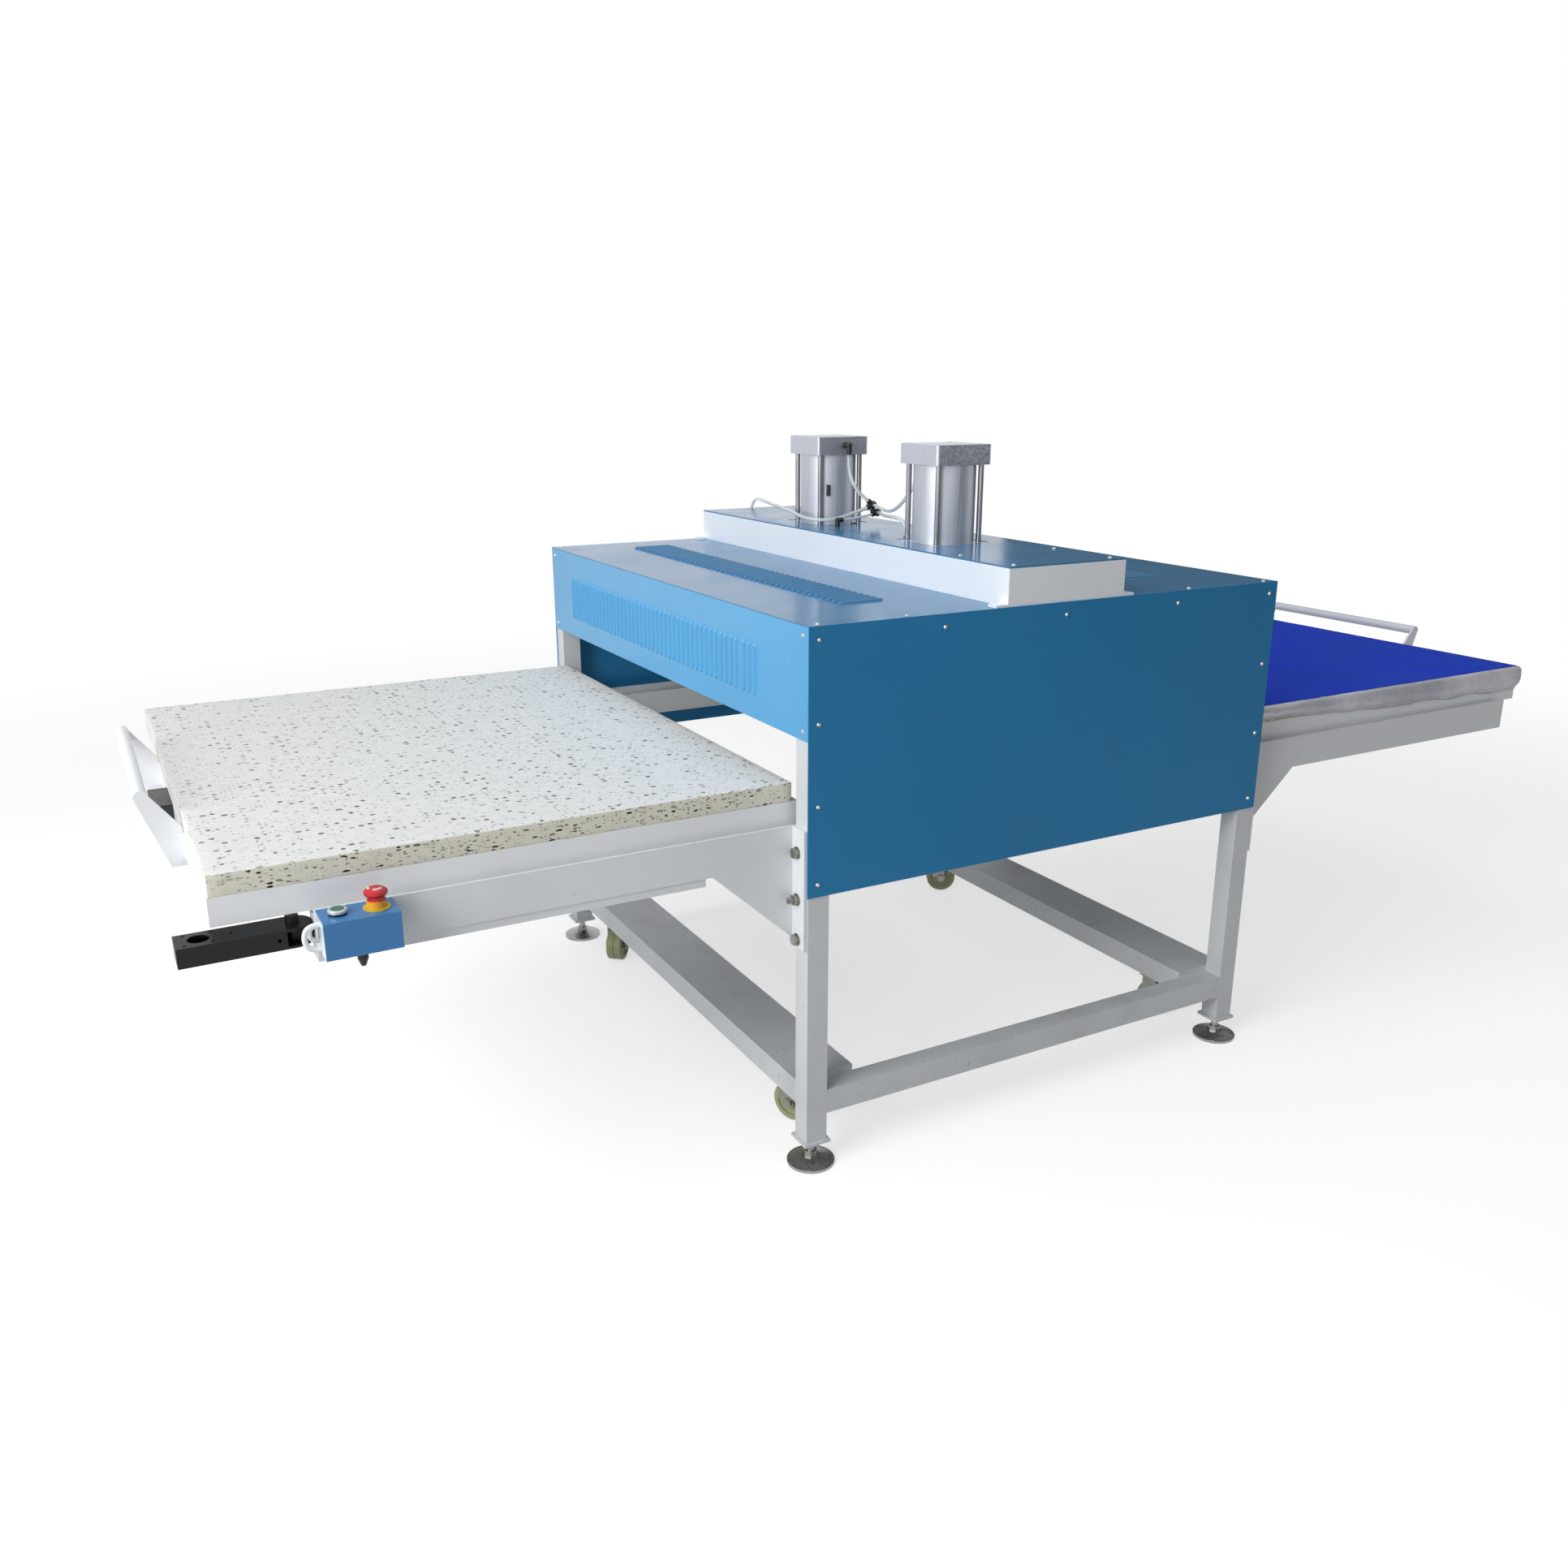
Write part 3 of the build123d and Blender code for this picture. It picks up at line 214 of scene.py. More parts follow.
def ramp(tree, value, low, high, to_low=0.0, to_high=1.0):
    """A value moved smoothly from one range to another."""
    node = tree.nodes.new("ShaderNodeMapRange")
    node.interpolation_type = "SMOOTHSTEP"
    for label, number in (("From Min", low), ("From Max", high), ("To Min", to_low), ("To Max", to_high)):
        if isinstance(number, (int, float)):
            node.inputs[label].default_value = number
        else:
            joined(tree, number, node.inputs[label])
    joined(tree, value, node.inputs["Value"])
    return node.outputs[0]


def blended(tree, share, first, second, way="MIX"):
    """Two colours mixed by a share."""
    node = tree.nodes.new("ShaderNodeMix")
    node.data_type = "RGBA"
    node.blend_type = way
    for n, value in ((0, share), (6, first), (7, second)):
        if isinstance(value, (int, float, tuple)):
            node.inputs[n].default_value = value
        else:
            joined(tree, value, node.inputs[n])
    return node.outputs[2]


def place(tree, stretch=(1, 1, 1)):
    """Object coordinates, scaled along each axis."""
    coordinates = tree.nodes.new("ShaderNodeTexCoord")
    mapping = tree.nodes.new("ShaderNodeMapping")
    mapping.inputs["Scale"].default_value = stretch
    joined(tree, coordinates.outputs["Object"], mapping.inputs["Vector"])
    return mapping.outputs[0]


def clouds(tree, where, scale, detail=2.0):
    """A noise texture's value."""
    node = tree.nodes.new("ShaderNodeTexNoise")
    node.inputs["Scale"].default_value = scale
    node.inputs["Detail"].default_value = detail
    joined(tree, where, node.inputs["Vector"])
    return node.outputs[0]


def grey(tree, value):
    """A colour with the same value in each channel."""
    node = tree.nodes.new("ShaderNodeCombineColor")
    for n in range(3):
        joined(tree, value, node.inputs[n])
    return node.outputs[0]


cloud_scale, patch_scale, smear_scale, speck_scale, peel_scale = 1.7, 6.0, 9.0, 55.0, 420.0
enamel_group, start, end = new_group(
    "enamel",
    [("Colour", "NodeSocketColor", (1, 1, 1, 1)), ("Soil Colour", "NodeSocketColor", (0.2, 0.18, 0.15, 1)),
     ("Soil", "NodeSocketFloat", 0.2), ("Gloss", "NodeSocketFloat", 0.3)],
    [("Colour", "NodeSocketColor"), ("Roughness", "NodeSocketFloat"), ("Height", "NodeSocketFloat")],
)
where = place(enamel_group)
cloud = ramp(enamel_group, clouds(enamel_group, where, cloud_scale, 2.0), 0.3, 0.7, 0.97, 1.02)
patch = clouds(enamel_group, where, patch_scale, 3.0)
smear = clouds(enamel_group, where, smear_scale, 2.0)
speck = ramp(enamel_group, clouds(enamel_group, where, speck_scale, 2.0), 0.68, 0.74)
soiled = figure(enamel_group, "MAXIMUM", ramp(enamel_group, patch, 0.45, 0.85), speck)
soiled = figure(enamel_group, "MULTIPLY", soiled, start.outputs["Soil"])
tint = blended(enamel_group, soiled, start.outputs["Colour"], start.outputs["Soil Colour"])
tint = blended(enamel_group, 1.0, tint, grey(enamel_group, cloud), "MULTIPLY")
rough = figure(enamel_group, "ADD", start.outputs["Gloss"], ramp(enamel_group, smear, 0.3, 0.7, -0.02, 0.04))
joined(enamel_group, tint, end.inputs["Colour"])
joined(enamel_group, rough, end.inputs["Roughness"])
joined(enamel_group, clouds(enamel_group, where, peel_scale, 1.0), end.inputs["Height"])
fine_relief = 0.0002


def finish_from(group, name, values, bump, depth, fixed):
    """A material whose shader takes its colour, roughness and height from a group."""
    material = bpy.data.materials.new(name)
    material.use_nodes = True
    tree = material.node_tree
    shader = tree.nodes["Principled BSDF"]
    maker = tree.nodes.new("ShaderNodeGroup")
    maker.node_tree = group
    for label, value in values.items():
        maker.inputs[label].default_value = value
    joined(tree, maker.outputs["Colour"], shader.inputs["Base Color"])
    joined(tree, maker.outputs["Roughness"], shader.inputs["Roughness"])
    relief = tree.nodes.new("ShaderNodeBump")
    relief.inputs["Strength"].default_value = bump
    relief.inputs["Distance"].default_value = depth
    joined(tree, maker.outputs["Height"], relief.inputs["Height"])
    joined(tree, relief.outputs[0], shader.inputs["Normal"])
    for label, value in fixed.items():
        shader.inputs[label].default_value = value
    return material


def enamel(name, colour, gloss=0.3, soil=0.2, soil_colour="5E5A50", shine=0.5):
    """Gloss paint on steel."""
    values = {"Colour": shade(colour), "Soil Colour": shade(soil_colour), "Soil": soil, "Gloss": gloss}
    return finish_from(enamel_group, name, values, 0.05, fine_relief, {"Specular IOR Level": shine})


def dress(material, *names):
    """Gives CAD nodes their finish."""
    for name in names:
        for slot in nodes[name].material_slots:
            slot.material = material


dress(enamel("frame enamel", "D2D6D9", soil=0.14), "legs", "top_rails", "platen_bearers")
dress(enamel("low rail enamel", "D0D5D8", soil=0.32, soil_colour="77736A"), "base_rails")


# Bright parts of the frame: steel foot discs on threaded stems, zinc-plated bolts and screws, and the
# casters' pressed plates and forks, which are fixed under the end rails. The metal's streaks run along
# a piece by the stretch of its coordinates.
blotch_scale = 22.0


def metal_group(name, stretch):
    """A shader group for metal with streaks in one direction."""
    group, start, end = new_group(
        name,
        [("Colour", "NodeSocketColor", (1, 1, 1, 1)), ("Dark", "NodeSocketColor", (0.2, 0.2, 0.2, 1)),
         ("Stain", "NodeSocketFloat", 0.3), ("Gloss", "NodeSocketFloat", 0.3)],
        [("Colour", "NodeSocketColor"), ("Roughness", "NodeSocketFloat"), ("Height", "NodeSocketFloat")],
    )
    streak = clouds(group, place(group, stretch), 1.0, 3.0)
    blotch = clouds(group, place(group), blotch_scale, 5.0)
    stained = figure(group, "MULTIPLY", ramp(group, blotch, 0.45, 0.75), start.outputs["Stain"])
    tint = blended(group, stained, start.outputs["Colour"], start.outputs["Dark"])
    tint = blended(group, 1.0, tint, grey(group, ramp(group, streak, 0.25, 0.75, 0.9, 1.06)), "MULTIPLY")
    joined(group, tint, end.inputs["Colour"])
    rough = figure(group, "ADD", start.outputs["Gloss"], ramp(group, streak, 0.3, 0.7, -0.05, 0.1))
    joined(group, rough, end.inputs["Roughness"])
    joined(group, streak, end.inputs["Height"])
    return group


upright_metal = metal_group("drawn metal", (500.0, 500.0, 8.0))
even_metal = metal_group("rolled metal", (240.0, 240.0, 240.0))


def metal(name, colour, gloss=0.3, stain=0.3, dark="4A4A48", group=even_metal, bump=0.1, metallic=1.0):
    """Bare or plated metal."""
    values = {"Colour": shade(colour), "Dark": shade(dark), "Stain": stain, "Gloss": gloss}
    return finish_from(group, name, values, bump, fine_relief, {"Metallic": metallic})


dress(metal("foot steel", "A2A2A0", gloss=0.3, stain=0.12, dark="4A4944"), "levelling_feet")
zinc = metal("zinc plate", "96968F", gloss=0.3, stain=0.3, dark="5E5C54")
dress(metal("screw zinc", "C4C5C2", gloss=0.34, stain=0.1), "panel_screws")
dress(zinc, "beam_bolts", "caster_plates", *[f"caster_fork_{n}" for n in range(1, 5)])


# Caster wheels: moulded nylon, yellowed, with grooves round the tread.
# Each runs on a steel axle across its fork.
def moulding(name, colour, gloss=0.4, soil=0.1, soil_colour="3A382F", fixed=None):
    """Moulded plastic."""
    values = {"Colour": shade(colour), "Soil Colour": shade(soil_colour), "Soil": soil, "Gloss": gloss}
    return finish_from(enamel_group, name, values, 0.08, fine_relief, fixed or {})


dress(moulding("caster nylon", "A6A983", gloss=0.5, soil=0.5), *[f"caster_wheel_{n}" for n in range(1, 5)])

# Cabin covers: folded steel sheet in one blue enamel, screwed to the frame. The fascias face the window and
# are given a lighter blue as painted light, the side panels a darker blue as painted shade; the roof is the
# glossiest.
# The fascias' lighter blue is painted light and the side panels' darker blue is painted shade on the same
# paint.
dress(enamel("fascia enamel with painted light", "53A4D6", gloss=0.28, soil=0.06), "fascias")
dress(enamel("side enamel with painted shade", "2B80B4", gloss=0.42, soil=0.05, shine=0.2), "side_panels")
roof_enamel = enamel("roof enamel", "4380AE", gloss=0.16, soil=0.12, soil_colour="8E9AA2", shine=0.14)
dress(roof_enamel, "top_panels", "crossbeam_cover")

# Crossbeam: plate folded and welded to a deep channel, in white enamel. It lies across the cabin and takes
# the pressing load, and the air cylinders stand on it.
dress(enamel("crossbeam enamel", "F1F6FB", gloss=0.3, soil=0.03), "crossbeam")

# Air cylinders: drawn and anodised barrels between machined caps, held together by bright tie rods. Their
# piston rods carry the platen, and four guide rods in bronze bushes keep it level. The elbows, tees and
# the sensor are black plastic.
anodised = metal("anodised barrel", "C4C6CE", gloss=0.42, stain=0.06, dark="8A8C92", group=upright_metal,
                 bump=0.03, metallic=0.8)
dress(anodised, "cylinder_barrels")
machined = metal("machined cap", "C6C9D3", gloss=0.36, stain=0.08, dark="85868A", bump=0.04, metallic=0.8)
dress(machined, "cylinder_caps", "valve_block")
bright = metal("bright rod", "97999D", gloss=0.24, stain=0.2, group=upright_metal, bump=0.04)
dress(bright, "tie_rods", "piston_rods", "guide_rods")
dress(metal("bush bronze", "B08A4A", gloss=0.3), "guide_bushes")
black = moulding("black plastic", "1B1B1D", gloss=0.38, soil=0.15, soil_colour="4C4C4C")
dress(black, "air_fittings", "cylinder_sensor")

# Air hoses: clear polyurethane tube pushed into the fittings at both ends, four of 8 mm and two links of
# 6 mm. Each follows the same route as in the model, on one smooth line, in millimetres.
hose_r, link_r = 4.0, 3.0
fit_a, fit_b = Vector((52, 120, 1197)), Vector((60, 112, 1179))
fit_reach = 16.0
fit_ways = [(fit_a, (-26, 6, 20)), (fit_a, (-24, 6, -10)), (fit_a, (-8, -24, 0)), (fit_b, (-12, -24, 2)),
            (fit_b, (-24, 2, -6)), (fit_b, (-12, 24, 8))]


def mouth(n, more=0.0):
    """Where a hose leaves way n of the tees, or a little beyond."""
    centre, way = fit_ways[n]
    return tuple(centre + Vector(way).normalized() * (fit_reach + more))


# Each hose's radius, its length in metres and its route
hoses = [
    (hose_r, 0.125, [(5, 157, 1314), (5, 157, 1304), (4.5, 154.4, 1284), (4.6, 147.9, 1264.7),
                     (7.8, 139.4, 1246), (16.6, 130.9, 1228.4), mouth(0, 8), mouth(0)]),
    (hose_r, 0.768, [mouth(1), mouth(1, 12), (4, 132, 1179), (-24, 135, 1170), (-52, 139, 1165),
                     (-76, 149, 1164), (-91, 170, 1165), (-96, 198, 1167), (-92, 236, 1170),
                     (-80, 285, 1173), (-64, 350, 1174), (-44, 430, 1175), (-22, 520, 1176),
                     (-4, 596, 1177), (4, 622, 1176), (8, 640, 1176), (8, 657, 1169), (8, 670, 1156),
                     (8, 677, 1139), (8.5, 678, 1122), (8, 677, 1090), (8, 677, 1054)]),
    (hose_r, 0.353, [(-5, -157, 1314), (-5, -157, 1294), (-15, -155, 1266), (-27, -146, 1240),
                     (-29, -120, 1218), (-18, -80, 1204), (0, -34, 1196), (20, 14, 1193), (35, 60, 1194),
                     mouth(2, 12), mouth(2)]),
    (hose_r, 0.285, [mouth(3), mouth(3, 16), (26, 44, 1183), (8, 0, 1183), (-10, -48, 1186),
                     (-23, -84, 1188), (-28.5, -106.8, 1188), (-29.5, -121.2, 1188),
                     (-29.5, -134.4, 1182.5), (-29.7, -144.5, 1172.4), (-30, -150, 1159),
                     (-30, -150, 1152)]),
    (link_r, 0.083, [mouth(4), mouth(4, 8), (18, 113, 1171), (-4, 112.4, 1168), (-26, 112, 1166),
                     (-38, 112, 1166)]),
    (link_r, 0.065, [mouth(5), mouth(5, 6), (40.6, 145, 1183.6), (34.4, 152.2, 1178.8),
                     (29.1, 157.5, 1171.6), (24, 162, 1159), (24, 162, 1152)]),
]


def tube(name, points, radius, material):
    """A curve of one smooth spline with round section, led by points in millimetres."""
    curve = bpy.data.curves.new(name, "CURVE")
    curve.dimensions = "3D"
    curve.bevel_depth = radius / 1000
    curve.bevel_resolution = 5
    curve.resolution_u = 12
    curve.use_fill_caps = True
    spline = curve.splines.new("NURBS")
    spline.points.add(len(points) - 1)
    for point, at in zip(spline.points, points):
        point.co = (at[0] / 1000, at[1] / 1000, at[2] / 1000, 1.0)
    spline.order_u = 3
    spline.use_endpoint_u = True
    curve.materials.append(material)
    piece = bpy.data.objects.new(name, curve)
    bpy.context.scene.collection.objects.link(piece)
    return piece


clear = moulding("clear hose", "EEF3F5", gloss=0.14, soil=0.0,
                 fixed={"Transmission Weight": 0.45, "IOR": 1.45})
for n, (radius, length, route) in enumerate(hoses, 1):
    hose = tube(f"air_hose_{n}", route, radius, clear)
    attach(hose, "frame")
    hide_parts("air_tubes")

# Platen, unseen from most sides: a machined metal plate with sheathed heaters in its bores, a fibre
# blanket on it and a folded sheet cover over that. Its bearers hang it from the piston rods.
dress(metal("plate metal", "B4B4B2", gloss=0.35, stain=0.4), "heat_plate")
dress(metal("heater sheath", "6F6B66", gloss=0.45, stain=0.5), "heater_rods")
dress(metal("cover sheet", "A2A3A3", gloss=0.4, stain=0.3), "platen_cover")
dress(moulding("fibre blanket", "D8D2BE", gloss=0.9, soil=0.3), "insulation")

# Tables and their ways: beams bolted to the legs, tracks through the cabin, and trays with a handle, all
# of steel in off-white enamel. Each tray rolls on two wheelsets of turned steel, and the left one has a
# black latch block at its handle.
dress(enamel("beam enamel", "E1E5E8", gloss=0.32, soil=0.08), "cabin_tracks", "beams_left", "beams_right")
dress(enamel("tray enamel", "ECEFF2", gloss=0.3, soil=0.06),
      "tray_left", "tray_right", "handle_left", "handle_right")
dress(metal("wheel steel", "A9AAAA", gloss=0.25), *[n for n in nodes if n.startswith("wheelset")])
dress(black, "latch_left")


# Press pads: slabs of pressed felt laid on the trays, beige with black flakes that lie flat in the slab,
# round from above and thin from the side. The working face is paler, under a thin white film that goes
# over one end.
fleck_wander, wander_scale = (0.010, 0.006, 0.002), 260.0
fleck_least, fleck_soft = 0.12, 0.06
mottle_scale, grain_scale = 60.0, 900.0


def felt_group(name, ground, fleck, axes, layers):
    """A shader group for flecked felt, from flat patterns of cells across two directions.

    A layer gives its cells' size across and up in metres, the share of empty cells, the largest flake's
    radius in cells and how strongly the flakes colour.
    """
    group, start, end = new_group(
        name,
        [("Ground", "NodeSocketColor", ground), ("Fleck", "NodeSocketColor", fleck)],
        [("Colour", "NodeSocketColor"), ("Roughness", "NodeSocketFloat"), ("Height", "NodeSocketFloat")],
    )
    tint = start.outputs["Ground"]
    where = place(group)
    ragged = group.nodes.new("ShaderNodeVectorMath")
    ragged.operation = "MULTIPLY_ADD"
    wander = group.nodes.new("ShaderNodeTexNoise")
    wander.inputs["Scale"].default_value = wander_scale
    wander.inputs["Detail"].default_value = 2.0
    joined(group, where, wander.inputs["Vector"])
    joined(group, wander.outputs["Color"], ragged.inputs[0])
    ragged.inputs[1].default_value = fleck_wander
    joined(group, where, ragged.inputs[2])
    for across, up, share, reach, depth in layers:
        flat = group.nodes.new("ShaderNodeCombineXYZ")
        for n, (axis, size) in enumerate(zip(axes, (across, up))):
            along = group.nodes.new("ShaderNodeVectorMath")
            along.operation = "DOT_PRODUCT"
            joined(group, ragged.outputs[0], along.inputs[0])
            along.inputs[1].default_value = tuple(v / size for v in axis)
            joined(group, along.outputs["Value"], flat.inputs[n])
        cells = group.nodes.new("ShaderNodeTexVoronoi")
        cells.voronoi_dimensions = "2D"
        cells.inputs["Scale"].default_value = 1.0
        joined(group, flat.outputs[0], cells.inputs["Vector"])
        parts = group.nodes.new("ShaderNodeSeparateColor")
        joined(group, cells.outputs["Color"], parts.inputs[0])
        radius = ramp(group, parts.outputs[0], share, 1.0, fleck_least, reach)
        inside = figure(group, "SUBTRACT", radius, cells.outputs["Distance"])
        mask = ramp(group, inside, 0.0, fleck_soft, 0.0, depth)
        present = figure(group, "GREATER_THAN", parts.outputs[0], share)
        mask = figure(group, "MULTIPLY", mask, present)
        mask = figure(group, "MULTIPLY", mask, ramp(group, parts.outputs[1], 0.0, 0.9, 0.3, 1.0))
        tint = blended(group, mask, tint, start.outputs["Fleck"])
    mottle = ramp(group, clouds(group, where, mottle_scale, 4.0), 0.3, 0.7, 0.96, 1.02)
    tint = blended(group, 1.0, tint, grey(group, mottle), "MULTIPLY")
    joined(group, tint, end.inputs["Colour"])
    grain = clouds(group, where, grain_scale, 3.0)
    joined(group, ramp(group, grain, 0.3, 0.7, 0.82, 0.95), end.inputs["Roughness"])
    joined(group, grain, end.inputs["Height"])
    return group


felt_relief = 0.0006


def felt(name, ground, fleck, axes, layers, bump):
    """One face of the felt."""
    group = felt_group(name, shade(ground), shade(fleck), axes, layers)
    return finish_from(group, name, {"Ground": shade(ground), "Fleck": shade(fleck)}, bump, felt_relief,
                       {"Specular IOR Level": 0.2})


felt_side = felt("felt edge", "E3E2D2", "1F201C", ((1, 1, 0), (0, 0, 1)),
                 ((0.014, 0.0050, 0.62, 0.42, 1.0), (0.0075, 0.0033, 0.68, 0.40, 0.85)), 0.5)
felt_face = felt("felt face", "E8EAE9", "363A3D", ((1, 0, 0), (0, 1, 0)),
                 ((0.016, 0.015, 0.70, 0.34, 0.85), (0.009, 0.009, 0.70, 0.32, 0.6)), 0.25)
felt_film = moulding("end film", "E6E6E0", gloss=0.5, soil=0.05)
pad_edge, pad_edge_steps = 0.0025, 3
pad_cells, pad_rows = 48, 3
swell_high, swell_scale = 0.0005, 30.0


def slab(name, low, high, cells):
    """A felt slab with its edges eased and its faces a little uneven."""
    bm = bmesh.new()
    bmesh.ops.create_cube(bm, size=1.0)
    size = high - low
    bmesh.ops.scale(bm, vec=size, verts=bm.verts)
    bmesh.ops.translate(bm, vec=(low + high) / 2, verts=bm.verts)
    bmesh.ops.bevel(bm, geom=bm.edges[:], offset=pad_edge, segments=pad_edge_steps, profile=0.5,
                    affect="EDGES", material=-1)
    for axis in (0, 1):
        long = [e for e in bm.edges if abs(e.verts[0].co[axis] - e.verts[1].co[axis]) > 0.5 * size[axis]]
        bmesh.ops.subdivide_edges(bm, edges=long, cuts=cells, use_grid_fill=True)
    tall = [e for e in bm.edges if abs(e.verts[0].co.z - e.verts[1].co.z) > 0.5 * size.z]
    bmesh.ops.subdivide_edges(bm, edges=tall, cuts=pad_rows, use_grid_fill=True)
    bm.normal_update()
    moves = []
    for vert in bm.verts:
        swell = swell_high * noise.noise(vert.co * swell_scale) - swell_high
        if vert.normal.z > -0.5:
            moves.append((vert, vert.normal * swell))
    for vert, move in moves:
        vert.co += move
    for face in bm.faces:
        face.smooth = True
        face.material_index = 1 if face.normal.z > 0.7 else 2 if face.normal.x < -0.7 else 0
    mesh = bpy.data.meshes.new(name)
    bm.to_mesh(mesh)
    bm.free()
    for face_finish in (felt_side, felt_face, felt_film):
        mesh.materials.append(face_finish)
    piece = bpy.data.objects.new(name, mesh)
    bpy.context.scene.collection.objects.link(piece)
    return piece


for side in ("left", "right"):
    low, high = (Vector(corner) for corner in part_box(f"pad_{side}"))
    pad = slab(f"felt_pad_{side}", low, high, pad_cells)
    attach(pad, f"{side}_table")
    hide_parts(f"pad_{side}")

# Cloth laid over the right pad: woven, with a blue top face, and a silver-coated hem that hangs over the
# edge in small crinkles. The hem hangs lowest at the table's outer end.
pad_low, pad_high = (Vector(corner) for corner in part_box("pad_right"))
cloth_thick = 0.0012
thread_scale, worn_scale = 240.0, 6.0
cloth_relief = 0.0004
woven_group, start, end = new_group(
    "woven cloth",
    [("Warp", "NodeSocketColor", (0, 0, 1, 1)), ("Weft", "NodeSocketColor", (0, 0, 1, 1)),
     ("Rough", "NodeSocketFloat", 0.8)],
    [("Colour", "NodeSocketColor"), ("Roughness", "NodeSocketFloat"), ("Height", "NodeSocketFloat")],
)
threads = []
for direction in ("X", "Y"):
    thread = woven_group.nodes.new("ShaderNodeTexWave")
    thread.bands_direction = direction
    thread.inputs["Scale"].default_value = thread_scale
    joined(woven_group, place(woven_group), thread.inputs["Vector"])
    threads.append(thread.outputs[1])
over = figure(woven_group, "MULTIPLY", threads[0], threads[1])
worn = ramp(woven_group, clouds(woven_group, place(woven_group), worn_scale, 5.0), 0.35, 0.7)
tint = blended(woven_group, worn, start.outputs["Warp"], start.outputs["Weft"])
weave = grey(woven_group, ramp(woven_group, over, 0.0, 1.0, 0.86, 1.06))
tint = blended(woven_group, 1.0, tint, weave, "MULTIPLY")
joined(woven_group, tint, end.inputs["Colour"])
joined(woven_group, figure(woven_group, "MULTIPLY_ADD", worn, 0.1, start.outputs["Rough"]),
       end.inputs["Roughness"])
joined(woven_group, over, end.inputs["Height"])
blue_threads = {"Warp": shade("1E45E0"), "Weft": shade("264FD8"), "Rough": 0.8}
blue_cloth = finish_from(woven_group, "blue cloth", blue_threads, 0.3, cloth_relief,
                         {"Specular IOR Level": 0.15})
silver_threads = {"Warp": shade("D5D5DC"), "Weft": shade("B4B5BE"), "Rough": 0.4}
silver_cloth = finish_from(woven_group, "silver hem", silver_threads, 0.3, cloth_relief, {"Metallic": 0.3})


def surface_piece(name, bm, material, thick):
    """A finished sheet from a bmesh, with its thickness."""
    bm.normal_update()
    for face in bm.faces:
        face.smooth = True
    mesh = bpy.data.meshes.new(name)
    bm.to_mesh(mesh)
    bm.free()
    mesh.materials.append(material)
    piece = bpy.data.objects.new(name, mesh)
    bpy.context.scene.collection.objects.link(piece)
    wall = piece.modifiers.new("thickness", "SOLIDIFY")
    wall.thickness = thick
    wall.offset = 1.0
    return piece


cloth_across, cloth_along = 100, 120
ripple_high = 0.0006
bm = bmesh.new()
bmesh.ops.create_grid(bm, x_segments=cloth_across, y_segments=cloth_along, size=0.5)
top_size = pad_high - pad_low
for vert in bm.verts:
    x = pad_low.x + (vert.co.x + 0.5) * top_size.x
    y = pad_low.y + (vert.co.y + 0.5) * top_size.y
    ripple = noise.noise(Vector((x * 5, y * 3, 0.3))) + 0.5 * noise.noise(Vector((x * 16, y * 11, 4.0)))
    vert.co = Vector((x, y, pad_high.z + ripple_high + ripple_high * (1 + ripple)))
sheet = surface_piece("blue_cloth", bm, blue_cloth, cloth_thick)

hem_lip, hem_lift = 0.014, 0.0016
hem_bulge, hem_gap, hem_crinkle = 0.007, 0.0022, 0.0016
hem_inner, hem_middle, hem_outer, hem_end = 0.026, 0.050, 0.058, 0.030
hem_middle_at = 0.48
hem_corner = 0.012


def hem_drop(x, y):
    """How far the hem hangs below the pad's top at a place on the rim."""
    share = (x - pad_low.x) / top_size.x
    along = hem_inner + (hem_middle - hem_inner) * min(1.0, share / hem_middle_at)
    if share > hem_middle_at:
        along += (hem_outer - hem_middle) * (share - hem_middle_at) / (1 - hem_middle_at)
    if pad_low.y < y < pad_high.y:
        return hem_end if share > 0.5 else hem_inner
    return along


rim = 2 * (top_size.x + top_size.y)


def rim_point(share):
    """A place on the pad's rim and the way out of it, from a share of the way round."""
    run = (share % 1.0) * rim
    for length, start, way, out in (
        (top_size.x, (pad_low.x, pad_low.y), (1, 0), (0, -1)),
        (top_size.y, (pad_high.x, pad_low.y), (0, 1), (1, 0)),
        (top_size.x, (pad_high.x, pad_high.y), (-1, 0), (0, 1)),
        (top_size.y, (pad_low.x, pad_high.y), (0, -1), (-1, 0)),
    ):
        if run <= length:
            spot = Vector((start[0] + way[0] * run, start[1] + way[1] * run, 0))
            turn = Vector((out[0], out[1], 0))
            if run < hem_corner:
                turn -= Vector((way[0], way[1], 0)) * (1 - run / hem_corner)
            if length - run < hem_corner:
                turn += Vector((way[0], way[1], 0)) * (1 - (length - run) / hem_corner)
            return spot, turn
        run -= length
    return rim_point(0.0)


bm = bmesh.new()
hem_round, hem_across = 900, 20
bmesh.ops.create_grid(bm, x_segments=hem_round, y_segments=hem_across, size=0.5)
for vert in bm.verts:
    share, across = vert.co.x + 0.5, vert.co.y + 0.5
    spot, way = rim_point(share)
    drop = hem_drop(spot.x, spot.y)
    loop = Vector((math.cos(2 * math.pi * share), math.sin(2 * math.pi * share), 0))
    crinkle = noise.noise(loop * 24 + Vector((0, 0, across * 2.0)))
    crinkle += 0.6 * noise.noise(loop * 70 + Vector((0, 0, across * 4.0)))
    drop *= 1 + 0.10 * noise.noise(loop * 9)
    run = across * (hem_lip + drop)
    if run < hem_lip:
        out = run - hem_lip
        height = hem_lift + ripple_high * crinkle
    else:
        fallen = (run - hem_lip) / drop
        bulge = hem_bulge * math.sin(math.pi * min(1.0, fallen * 1.1)) ** 0.7
        out = hem_gap + bulge + hem_crinkle * (1 + crinkle)
        height = hem_lift - drop * fallen
    vert.co = spot + way * out + Vector((0, 0, pad_high.z + height))
hem_weld = 0.00005
bmesh.ops.remove_doubles(bm, verts=bm.verts, dist=hem_weld)
hem = surface_piece("silver_hem", bm, silver_cloth, cloth_thick)
